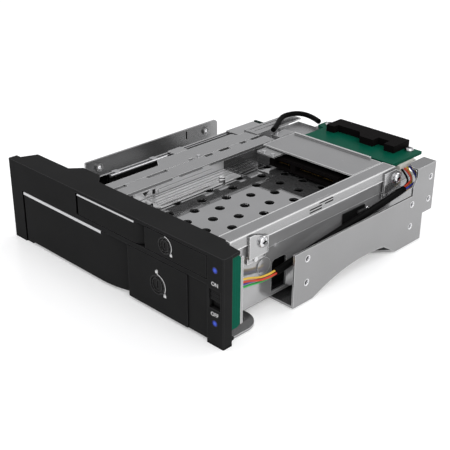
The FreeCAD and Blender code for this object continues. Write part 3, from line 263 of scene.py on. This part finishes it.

# ------------------------------------------------------------------ front moulding
# One black injection moulding, satin with a fine spark-eroded grain, with painted highlights
# along its edges and painted shade in its gaps. Both doors are of the same plastic, and so
# are the slide of the power switch and its housing.
moulding = Finish("black_moulding", specular_ior_level=0.01)
cloud = moulding.blur(0.02)
grain = moulding.blur(0.00022, detail=2.0)
smooth = moulding.between((0.0160, 0.0160, 0.0162), (0.0230, 0.0230, 0.0232), cloud)
# the edges carry a painted highlight, and the gaps get painted shade
skin = moulding.between(smooth, (0.08, 0.08, 0.082), moulding.edges(0.00025, 5.0))
lit = moulding.openness(0.0015) * 1.6 - 0.6
moulding.wear({"Base Color": moulding.between((0.001, 0.001, 0.001), skin, lit),
               "Roughness": cloud * 0.1 + grain * 0.1 + 0.42,
               "Normal": moulding.bump(grain, 0.22, 0.00002)})
moulding.on("front_bezel", "door_25", "door_35", "switch_body", "switch_knob")

# ------------------------------------------------------------------ silver strips of the doors
# A thin brushed aluminium strip is let into the top edge of each door's left half.
satin = Finish("brushed_aluminium", metallic=1.0)
lines = satin.blur(0.0002, (40, 1, 1), 2.0)
satin.weather(lines, (0.46, 0.46, 0.47), (0.66, 0.66, 0.67), gloss=0.3, spread=0.15)
satin.wear({"Normal": satin.bump(lines, 0.12, 0.00003)})
satin.on("door_25_strip", "door_35_strip")

# ------------------------------------------------------------------ locks
# Each lock is a black lacquered barrel pressed into its door and a turned core with a key
# slot, both with a painted grey highlight along their edges. The printed marks are an arc for
# the turn and a padlock for the locked place.
for part, spots, stretch, shade, spread in (("barrel", 0.0007, (1, 1, 1), 0.006, 0.15),
                                            ("core", 0.0004, (1, 1, 6), 0.008, 0.2)):
    lacquer = Finish(f"lock_{part}", specular_ior_level=0.1)
    turned = lacquer.blur(spots, stretch)
    black = lacquer.between((0.003, 0.003, 0.003), (shade, shade, shade), turned)
    # the grey along the edges is a painted highlight
    lacquer.wear({"Base Color": lacquer.between(black, (0.22, 0.22, 0.22),
                                                lacquer.edges(0.00012, 3.5)),
                  "Roughness": turned * spread + 0.3})
    lacquer.on(f"lock_{part}_25", f"lock_{part}_35")

ink = Finish("white_ink")
ink.weather(ink.blur(0.0005), (0.62, 0.62, 0.62), (0.80, 0.80, 0.80), gloss=0.45, spread=0.2)
INK = 0.03 * MM


def set_down(bm, name, finish, body):
    """Close a bmesh as the piece of that name, and fix it to its body."""
    mesh = bpy.data.meshes.new(name)
    bm.to_mesh(mesh)
    bm.free()
    for polygon in mesh.polygons:
        polygon.use_smooth = True
    mesh.set_sharp_from_angle(angle=math.radians(32))
    piece = stand(name, mesh)
    finish.on(piece)
    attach(piece, body)
    return piece


def polar(degrees, radius):
    """A step on the front, its angle running anticlockwise from +X."""
    angle = math.radians(degrees)
    return Vector((math.cos(angle) * radius, 0, math.sin(angle) * radius))


def band(bm, centre, inner, outer, start, end):
    """A flat printed arc on the front, between two radii and two angles in degrees."""
    ends = [bm.verts.new(centre + polar(start, radius)) for radius in (inner, outer)]
    edge = bm.edges.new(ends)
    bmesh.ops.spin(bm, geom=[*ends, edge], cent=centre, axis=(0, -1, 0),
                   angle=math.radians(end - start), steps=max(6, int(abs(end - start) / 6)),
                   use_merge=False)


def padlock(bm, centre, size, opened):
    """A padlock 1 size wide: a block with a shackle over it, lifted to one side when open."""
    upright = Matrix.Translation(centre) @ Matrix.Rotation(math.pi / 2, 4, "X")
    bmesh.ops.create_grid(bm, x_segments=1, y_segments=1, size=0.5,
                          matrix=upright @ Matrix.Diagonal((size, 0.75 * size, 1, 1)))
    hoop = centre + Vector((0.28 * size if opened else 0, 0, 0.42 * size))
    band(bm, hoop, 0.22 * size, 0.38 * size, 180, 0)


for size in ("25", "35"):
    low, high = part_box(f"lock_barrel_{size}")
    middle, ring = (low + high) / 2, (high.x - low.x) / 2
    middle.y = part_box(f"door_{size}")[0].y - INK
    marks = bmesh.new()
    band(marks, middle, 1.13 * ring, 1.21 * ring, 88, -24)
    glyph = 0.36 * ring
    # a shut padlock where the arc ends, and on the lower lock an open one where it starts
    padlock(marks, middle + polar(-38, 1) * 1.36 * ring, glyph, False)
    if size == "35":
        padlock(marks, middle + Vector((-0.05 * ring, 0, 1.38 * ring)), glyph, True)
    bmesh.ops.solidify(marks, geom=list(marks.faces), thickness=INK)
    bmesh.ops.recalc_face_normals(marks, faces=list(marks.faces))
    set_down(marks, f"lock_marks_{size}", ink, f"door_{size}")

# ------------------------------------------------------------------ switch legends and lights
# ON and OFF are printed in white above and below the slide switch. A blue light shines
# through a round lens over and under them.
bezel_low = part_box("front_bezel")[0]
switch_low, switch_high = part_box("switch_body")
# the legends and the lights' glow share one upright line
switch_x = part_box("light_upper")[0].x + 1.6 * MM
for word, height in (("ON", switch_high.z + 1.2 * MM), ("OFF", switch_low.z - 2.6 * MM)):
    lettering = bpy.data.curves.new(word, "FONT")
    lettering.body = word
    lettering.size = 2.5 * MM
    lettering.extrude = INK
    lettering.offset = 0.03 * MM
    lettering.align_x = "CENTER"
    holder = bpy.data.objects.new(word, lettering)
    mesh = bpy.data.meshes.new_from_object(holder)
    bpy.data.objects.remove(holder)
    mesh.transform(Matrix.Translation((switch_x, bezel_low.y, height))
                   @ Matrix.Rotation(math.pi / 2, 4, "X"))
    legend = stand(f"legend_{word.lower()}", mesh)
    ink.on(legend)
    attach(legend, "chassis")

# each metre from the middle takes this much from the glow, so it is gone after 1.3 mm
fading = 760
for name in ("light_upper", "light_lower"):
    low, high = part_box(name)
    centre = (switch_x, 0, ((low + high) / 2).z)
    lens = Finish(f"blue_{name}", specular_ior_level=0.2)
    flat = lens.add("ShaderNodeMapping", {"Vector": lens.place, "Scale": (1, 0, 1)})
    apart = lens.add("ShaderNodeVectorMath", {0: flat, 1: centre}, 1, operation="DISTANCE")
    glow = lens.maths("SUBTRACT", 1.0, apart * fading, True)
    lens.wear({"Base Color": lens.between((0.004, 0.008, 0.10), (0.03, 0.07, 0.60), glow),
               "Emission Color": lens.between((0.002, 0.006, 0.12), (0.10, 0.22, 1.0), glow),
               "Roughness": lens.blur(0.0008) * 0.1 + 0.15, "Emission Strength": 0.3})
    lens.on(name)

# ------------------------------------------------------------------ sheet metal
# The cage is folded from zinc-plated steel of 1 and 0.8 mm. The plating is half a mirror,
# with faint rolling lines along the sheet, a few dull patches from handling, painted
# highlights along its edges and painted shade in its corners.


def zinc(name, low, high, gloss, sheen, bend=0.0003, spared=None, shade_reach=0.0009, deeper_shade=False):
    """Zinc-plated sheet, between two shades of grey, with a roughness and a metallic sheen.

    Its edges carry a painted highlight over a bend in metres, but not between the two heights
    that are spared. Painted shade darkens its corners within a distance in metres, and is
    deeper when the last flag is set.
    """
    finish = Finish(name, specular_ior_level=0.5)
    rolled = finish.blur(0.00018, (1, 60, 1), 2.0)
    handled = finish.blur(0.018, detail=2.0)
    # painted shade in the corners, and below it painted highlights along the edges
    clear = finish.openness(shade_reach)
    if deeper_shade:
        clear = clear * clear
    edge_highlight = finish.edges(bend, 7.0) * clear
    if spared:
        height = finish.along(2)
        edge_highlight = edge_highlight * ((height < spared[0]) + (height > spared[1]))
    plain_plating = finish.between((low, low, low), (high, high, high * 1.01), handled)
    highlighted = finish.between(plain_plating, (0.9, 0.9, 0.9), edge_highlight)
    finish.wear({"Base Color": finish.between((0.01, 0.01, 0.01), highlighted, clear * 0.85 + 0.15),
                 "Metallic": sheen - edge_highlight * 0.6 * sheen,
                 "Roughness": handled * 0.02 + rolled * 0.03 + gloss,
                 "Normal": finish.bump(rolled, 0.03, 0.00001)})
    return finish


# each finish has its darker and lighter grey, its roughness and its sheen
zinc("zinc_pan", 0.28, 0.32, 0.22, 0.85).on("base_pan")
zinc("zinc_plate", 0.36, 0.41, 0.24, 0.85).on(
    "top_rail_left", "left_rail_cover", "rear_shelf", "rear_bracket", "bridge_tab",
    "connector_clip", "board_support")
zinc("zinc_lipped", 0.36, 0.41, 0.24, 0.85, bend=0.0009).on("cross_plate")
# the right wall's plating is lighter and less metallic than the rest, as painted light that
# stands in for the bright reflections on it
zinc("zinc_dull", 0.38, 0.48, 0.10, 0.6).on("cage_wall_right")
zinc("zinc_mirror", 0.42, 0.49, 0.03, 1.0).on("cage_wall_left", "slider_guide")
zinc("zinc_ear", 0.38, 0.46, 0.12, 0.85, bend=0.0006).on("side_ear_front", "side_ear_rear")
# the upper slider's plating is much lighter than the rest, as painted light for the shade it lies
# in under the strip, and its ribs get deeper painted shade
zinc("zinc_bright", 0.82, 0.92, 0.16, 0.6, bend=0.0002, shade_reach=0.0005, deeper_shade=True).on("ejector_25")
# the outer flank of the right rail has its painted highlights only along its lower and its upper
# bend
rail_flank = (36.4 * MM, 40.1 * MM)
zinc("zinc_bent", 0.33, 0.38, 0.22, 0.85, bend=0.0015, spared=rail_flank).on("top_rail_right")
# the tray's outer flange is duller than its floor
tray_zinc = zinc("zinc_tray", 0.40, 0.46, 0.02, 1.0)
flange_left = 61.2 * MM
tray_zinc.wear({"Metallic": (tray_zinc.along(0) < flange_left) * 0.4 + 0.5})
tray_zinc.on("tray_25")
# the web of the lower slider is painted black below a height, as painted shade, and its rod and
# lugs keep the plating
webbed = zinc("zinc_webbed", 0.74, 0.84, 0.16, 0.6)
web_top = 26.8 * MM
height = webbed.along(2)
above_shade, shaded_web = height > web_top, height < web_top
webbed.wear({"Metallic": above_shade * 0.85,
             "Base Color": webbed.between((0.004, 0.004, 0.004), (0.46, 0.46, 0.47), above_shade),
             "Roughness": shaded_web * 0.3 + 0.18})
webbed.on("ejector_35")

# ------------------------------------------------------------------ black film of painted shade
# A sheet of black film on the floor of the lower bay, which turns up before the back board,
# is painted shade that darkens what shows through the tray's holes. Patches of it behind the
# window at the right and on the outer face of the right wall are painted shade too. A dark
# spring catch stands in the slot of the left side plate.
film_finish = Finish("black_film", specular_ior_level=0.1)
film_finish.weather(film_finish.blur(0.012), (0.003, 0.003, 0.003), (0.006, 0.006, 0.006),
                    gloss=0.5, spread=0.1)


def block(bm, low, size):
    """A plain block, from its lowest corner and its size. Gives its corners."""
    return bmesh.ops.create_cube(bm, size=1, matrix=Matrix.Translation(low + size / 2)
                                 @ Matrix.Diagonal((*size, 1)))["verts"]


def round_off(bm, edges, radius, steps):
    """Round some edges to a radius."""
    bmesh.ops.bevel(bm, geom=edges, offset=radius, segments=steps, affect="EDGES",
                    profile=0.5, material=-1)


pan_low, pan_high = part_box("base_pan")
left_wall, right_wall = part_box("cage_wall_left"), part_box("cage_wall_right")
film_low = Vector((left_wall[1].x + 1 * MM, left_wall[0].y + 6 * MM, pan_low.z + 1 * MM))
film_high = Vector((right_wall[1].x - 11.6 * MM, left_wall[1].y - 0.4 * MM,
                    pan_low.z + 1.2 * MM))
film_thick, patch_thick = 0.2 * MM, 0.15 * MM
film = bmesh.new()
# the sheet on the floor, with round corners
block(film, film_low, film_high - film_low)
upright = [e for e in film.edges if abs(e.verts[0].co.z - e.verts[1].co.z) > film_thick / 2]
round_off(film, upright, 3 * MM, 4)
# the patch behind the window
block(film, Vector((right_wall[1].x - 9.15 * MM, right_wall[0].y + 22 * MM,
                    pan_low.z + 1.4 * MM)), Vector((patch_thick, 34 * MM, 25 * MM)))
# the fold before the back board
block(film, Vector((film_low.x, film_high.y - film_thick, film_low.z)),
      Vector((film_high.x - film_low.x, film_thick, 2.8 * MM)))
# the patch on the outer face
block(film, Vector((right_wall[1].x + 0.02 * MM, 12.5 * MM, 22.2 * MM)),
      Vector((patch_thick, 16.6 * MM, 5.8 * MM)))
set_down(film, "bay_shade_film", film_finish, "chassis")

catch = bmesh.new()
block(catch, Vector((pan_low.x + 0.3 * MM, 39.75 * MM, 20.95 * MM)),
      Vector((0.9 * MM, 1.0 * MM, 4.5 * MM)))
round_off(catch, list(catch.edges), 0.15 * MM, 2)
set_down(catch, "side_catch", film_finish, "chassis")

# ------------------------------------------------------------------ screws and rivets
# Nickel-plated pan heads with a cross recess hold the two ears and the rear board. Short
# rivets hold the smaller brackets. The hinge pins and lock cams are of the same finish.
nickel = Finish("nickel", metallic=1.0)
nickel.weather(nickel.blur(0.0009), (0.56, 0.56, 0.57), (0.74, 0.74, 0.75),
               gloss=0.12, spread=0.12)
nickel.on("ear_rivets", "plate_rivets", "hinge_pin_25", "hinge_pin_35", "lock_cam_25",
          "lock_cam_35")


def open_edges(bm):
    """The edges at which a mesh ends."""
    return [e for e in bm.edges if e.is_boundary]


def grow(bm, edges):
    """Extrude edges in place. Gives the new corners and the new open edges."""
    grown = bmesh.ops.extrude_edge_only(bm, edges=edges)["geom"]
    corners = [v for v in grown if isinstance(v, bmesh.types.BMVert)]
    return corners, [e for e in grown if isinstance(e, bmesh.types.BMEdge) and e.is_boundary]


def seat_on(bm, made, seat, towards):
    """Add a finished mesh to another, standing on a point and facing along an axis."""
    bmesh.ops.recalc_face_normals(made, faces=list(made.faces))
    facing = Vector(towards).to_track_quat("Z", "Y").to_matrix().to_4x4()
    bmesh.ops.transform(made, matrix=Matrix.Translation(seat) @ facing, verts=list(made.verts))
    part = bpy.data.meshes.new("part")
    made.to_mesh(part)
    made.free()
    bm.from_mesh(part)
    bpy.data.meshes.remove(part)


def pan_head(bm, seat, towards, radius, height):
    """A domed head with a cross recess, its seat at a point, facing along an axis."""
    made = bmesh.new()
    arm, reach, depth = 0.13 * radius, 0.52 * radius, 0.5 * height
    # a cross of five squares is the floor of the recess
    bmesh.ops.create_grid(made, x_segments=1, y_segments=1, size=arm)
    for edge in list(made.edges):
        corners, _ = grow(made, [edge])
        outward = sum((v.co for v in corners), Vector()).normalized()
        bmesh.ops.translate(made, vec=outward * (reach - arm), verts=corners)
    bmesh.ops.translate(made, vec=(0, 0, height - depth), verts=list(made.verts))
    # its walls rise to the flat top, which ends in a circle
    bmesh.ops.subdivide_edges(made, edges=open_edges(made), cuts=1)
    corners, mouth = grow(made, open_edges(made))
    bmesh.ops.translate(made, vec=(0, 0, depth), verts=corners)
    disc = bmesh.ops.create_circle(made, segments=len(mouth), radius=0.62 * radius,
                                   matrix=Matrix.Translation((0, 0, height)))["verts"]
    crown = list({e for v in disc for e in v.link_edges})
    bmesh.ops.bridge_loops(made, edges=mouth + crown)
    # from there the dome falls to the seat, in steps of its radius and its height
    for share, level in ((0.82, 0.9), (0.95, 0.66), (1.0, 0.36), (1.0, 0.0)):
        corners, crown = grow(made, crown)
        size = Vector(corners[0].co.xy).length
        for v in corners:
            v.co.xy = v.co.xy * (share * radius / size)
            v.co.z = level * height
    bmesh.ops.contextual_create(made, geom=crown)
    seat_on(bm, made, seat, towards)


ear_low, ear_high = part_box("ear_screws")
head = (ear_high.z - ear_low.z) / 2
heads = bmesh.new()
for y in (ear_low.y + head, ear_high.y - head):
    pan_head(heads, Vector((ear_low.x, y, (ear_low.z + ear_high.z) / 2)), (1, 0, 0), head,
             ear_high.x - ear_low.x)
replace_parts(set_down(heads, "ear_screw_heads", nickel, "chassis"), "ear_screws")

board_low, board_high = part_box("board_screws")
head = (board_high.y - board_low.y) / 2
heads = bmesh.new()
for x in (board_low.x + head, board_high.x - head):
    pan_head(heads, Vector((x, (board_low.y + board_high.y) / 2, board_low.z)), (0, 0, 1), head,
             board_high.z - board_low.z)
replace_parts(set_down(heads, "board_screw_heads", nickel, "chassis"), "board_screws")

# A small tension spring lies on the patch of painted shade on the right wall, before a screw.
spring_end = Vector((right_wall[1].x + 1.25 * MM, 22.6 * MM, 26.0 * MM))
coil_radius, wire_radius, coil_pitch, turns, facets = 0.85 * MM, 0.2 * MM, 0.68 * MM, 9, 12
spring = bmesh.new()
wire = bmesh.ops.create_circle(
    spring, segments=8, radius=wire_radius,
    matrix=Matrix.Translation(spring_end + Vector((0, 0, coil_radius)))
    @ Matrix.Rotation(math.pi / 2, 4, "Y"))["verts"]
bmesh.ops.spin(spring, geom=[*wire, *spring.edges], cent=spring_end, axis=(0, 1, 0),
               dvec=(0, coil_pitch / facets, 0), angle=2 * math.pi * turns,
               steps=facets * turns, use_merge=False)
bmesh.ops.holes_fill(spring, edges=open_edges(spring))
bmesh.ops.recalc_face_normals(spring, faces=list(spring.faces))
music_wire = Finish("music_wire", metallic=1.0)
music_wire.weather(music_wire.blur(0.0006), (0.06, 0.06, 0.06), (0.12, 0.12, 0.12),
                   gloss=0.3, spread=0.2)
set_down(spring, "wall_spring", music_wire, "chassis")
wall_screw = bmesh.new()
pan_head(wall_screw, Vector((right_wall[1].x, 30.6 * MM, 25.2 * MM)), (1, 0, 0), 1.3 * MM,
         0.9 * MM)
set_down(wall_screw, "wall_screw_head", nickel, "chassis")

# The threaded holes of the side plates have rolled-in inserts of the same bright finish. An
# insert's profile runs round in radius and in height over the plate.
insert_profile = [(1.75, 0.05), (1.30, 0.05), (1.05, -0.35), (1.05, -1.6), (1.27, -1.6),
                  (1.27, 0.0), (1.75, 0.0)]
side_spots = [(side, y, z) for side in (-1, 1) for y in (-24.0, 55.25) for z in (10.4, 22.24)]
rear_spots = [(1, 69.6, 21.0), (1, 69.6, 33.0)]
inserts = bmesh.new()
for side, y, z in side_spots + rear_spots:
    face = side * pan_high.x
    corners = [inserts.verts.new((face + side * out * MM, (y + radius) * MM, z * MM))
               for radius, out in insert_profile]
    rims = [inserts.edges.new(pair) for pair in zip(corners, corners[1:] + corners[:1])]
    bmesh.ops.spin(inserts, geom=[*corners, *rims], cent=(face, y * MM, z * MM), axis=(1, 0, 0),
                   angle=2 * math.pi, steps=20, use_merge=True)
bmesh.ops.remove_doubles(inserts, verts=list(inserts.verts), dist=1e-6)
bmesh.ops.recalc_face_normals(inserts, faces=list(inserts.faces))
set_down(inserts, "thread_inserts", nickel, "chassis")

# ------------------------------------------------------------------ boards
# The boards are glass fibre under green lacquer. Copper tracks show through it as slightly
# lighter lines. Domes of solder stand along the front board and on the back board.


def circuit_board(name, dark, light, across):
    """Green lacquer over tracks that step along a square grid."""
    finish = Finish(name, specular_ior_level=0.03, coat_roughness=0.15)
    spot = finish.add("ShaderNodeMapping", {"Vector": finish.place, "Rotation": across})
    tracks = finish.add("ShaderNodeTexBrick",
                        {"Vector": spot, "Scale": 1.0, "Mortar Size": 0.00018,
                         "Mortar Smooth": 0.2, "Brick Width": 0.0093, "Row Height": 0.0014},
                        1, offset=0.37, offset_frequency=3, squash=0.6)
    cloud = finish.blur(0.012)
    finish.wear({"Base Color": finish.between(dark, light, tracks * 0.5 + cloud * 0.4),
                 "Roughness": cloud * 0.1 + 0.3, "Coat Weight": cloud * 0.03,
                 "Normal": finish.bump(tracks, 0.1, 0.00004)})
    return finish


circuit_board("rear_board_lacquer", (0.001, 0.062, 0.036), (0.002, 0.092, 0.055),
              (0, 0, 0)).on("rear_board")
circuit_board("upright_board_lacquer", (0.001, 0.010, 0.006), (0.002, 0.018, 0.011),
              (math.pi / 2, 0, 0)).on("backplane_25", "backplane_35")
circuit_board("side_board_lacquer", (0.0002, 0.080, 0.047), (0.0006, 0.110, 0.066),
              (0, math.pi / 2, 0)).on("front_board")

solder = Finish("solder", metallic=1.0)
solder.weather(solder.blur(0.0005), (0.50, 0.50, 0.52), (0.70, 0.70, 0.72),
               gloss=0.2, spread=0.2)


def dome(bm, seat, towards, radius):
    """A rounded joint of solder, spun from a quarter circle."""
    made = bmesh.new()
    arc = [made.verts.new((radius * math.cos(math.radians(a)), 0,
                           0.6 * radius * math.sin(math.radians(a)))) for a in (0, 30, 60, 90)]
    rims = [made.edges.new(pair) for pair in zip(arc, arc[1:])]
    bmesh.ops.spin(made, geom=[*arc, *rims], cent=(0, 0, 0), axis=(0, 0, 1),
                   angle=2 * math.pi, steps=10, use_merge=True)
    bmesh.ops.remove_doubles(made, verts=list(made.verts), dist=1e-6)
    bmesh.ops.contextual_create(made, geom=open_edges(made))
    seat_on(bm, made, seat, towards)


low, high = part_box("front_board")
joints = bmesh.new()
for share, radius in ((0.06, 0.35), (0.19, 0.3), (0.27, 0.3), (0.44, 0.3), (0.56, 0.3),
                      (0.70, 0.35), (0.86, 0.4)):
    dome(joints, Vector((high.x, low.y + 1.2 * MM, low.z + share * (high.z - low.z))),
         (1, 0, 0), radius * MM)
set_down(joints, "front_board_joints", solder, "chassis")

# Both drive connectors have 22 pins, of which 7 stand apart from the rest.
PIN_PITCH = 1.27
FIRST_PIN = 4.2
low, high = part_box("backplane_35")
plug_low, plug_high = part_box("connector_35")
joints = bmesh.new()
for i in range(22):
    gap = 4 if i > 6 else 0
    for row in (0.35, 0.65):
        dome(joints, Vector((plug_low.x + (FIRST_PIN + i * PIN_PITCH + gap) * MM, high.y,
                             plug_low.z + row * (plug_high.z - plug_low.z))), (0, 1, 0),
             0.36 * MM)
set_down(joints, "back_board_joints", solder, "chassis")

# ------------------------------------------------------------------ sockets and plugs
# The sockets are black glass-filled nylon with rows of gold contacts. The wires' headers
# behind the switch board and under the rear board are of undyed nylon.
nylon = Finish("black_nylon", specular_ior_level=0.01)
fibres = nylon.blur(0.0005)
nylon.weather(fibres, (0.004, 0.0035, 0.0035), (0.008, 0.007, 0.007), gloss=0.4, spread=0.15)
nylon.wear({"Normal": nylon.bump(fibres, 0.15, 0.00004)})
nylon.on("rear_socket", "connector_25", "connector_35")
pale = Finish("undyed_nylon", specular_ior_level=0.4)
pale.weather(pale.blur(0.002), (0.50, 0.49, 0.45), (0.66, 0.65, 0.60), gloss=0.35, spread=0.15)
pale.on("front_header", "rear_header")

gold = Finish("gold_contact", metallic=1.0)
gold.weather(gold.blur(0.001), (0.62, 0.40, 0.10), (0.85, 0.60, 0.22), gloss=0.2, spread=0.2)


def contacts(name, node, rows, level, facing):
    """Flat blades in the slots of a plug, which faces along Y. A row is its ends along X."""
    low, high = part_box(node)
    front = low.y if facing < 0 else high.y
    blade = Vector((0.7, 1.6, 0.4)) * MM
    inset = 3.4 * MM
    blades = bmesh.new()
    for start, end in rows:
        for i in range(int((end - start) / PIN_PITCH) + 1):
            centre = Vector((low.x + (start + i * PIN_PITCH) * MM, front - facing * inset,
                             low.z + level * MM))
            corners = block(blades, centre - blade / 2, blade)
            round_off(blades, list({e for v in corners for e in v.link_edges}), 0.06 * MM, 1)
    set_down(blades, name, gold, "chassis")


drive_rows = [(FIRST_PIN, 13.0), (18.2, 40.0)]
contacts("contacts_25", "connector_25", drive_rows, 2.2, -1)
contacts("contacts_35", "connector_35", drive_rows, 2.2, -1)
contacts("contacts_rear", "rear_socket", [(4.4, 12.4), (17.6, 40.0)], 1.9, 1)

# ------------------------------------------------------------------ studio
# A glossy white floor, a wide soft lamp at the right, a weaker one at the left and a small
# one behind. The world is white where the camera sees it, and lights the cage more dimly.
floor_mesh = bpy.data.meshes.new("floor")
plane = bmesh.new()
bmesh.ops.create_grid(plane, x_segments=1, y_segments=1, size=4)
plane.to_mesh(floor_mesh)
plane.free()
floor = stand("floor", floor_mesh)
white = Finish("white_floor", roughness=0.22, specular_ior_level=0.5)
seen = white.maths("MAXIMUM", white.add("ShaderNodeLightPath", output="Is Camera Ray"),
                   white.add("ShaderNodeLightPath", output="Is Glossy Ray"))
white.wear({"Base Color": (0.90, 0.90, 0.90, 1), "Emission Color": (1, 1, 1, 1),
            "Emission Strength": seen * 0.28})
white.on(floor)

world = bpy.data.worlds.new("studio")
bpy.context.scene.world = world
world.use_nodes = True
sky = world.node_tree
path = sky.nodes.new("ShaderNodeLightPath")
level = sky.nodes.new("ShaderNodeMixRGB")
level.inputs[1].default_value = (0.62, 0.62, 0.63, 1)
level.inputs[2].default_value = (1, 1, 1, 1)
sky.links.new(path.outputs["Is Camera Ray"], level.inputs[0])
sky.links.new(level.outputs[0], sky.nodes["Background"].inputs["Color"])


def lamp(name, size, power, place):
    """A square lamp that shines on the middle of the floor."""
    light = bpy.data.lights.new(name, "AREA")
    light.size = size
    light.energy = power
    holder = stand(name, light)
    holder.location = place
    holder.rotation_euler = (-Vector(place)).to_track_quat("-Z", "Y").to_euler()


lamp("key", 1.5, 10.0, (1.0, -0.36, 0.85))
lamp("fill", 1.2, 3.5, (-1.0, -0.3, 0.9))
lamp("rim", 0.7, 4.0, (0.25, 0.95, 0.95))

bpy.context.scene.view_settings.view_transform = "Standard"
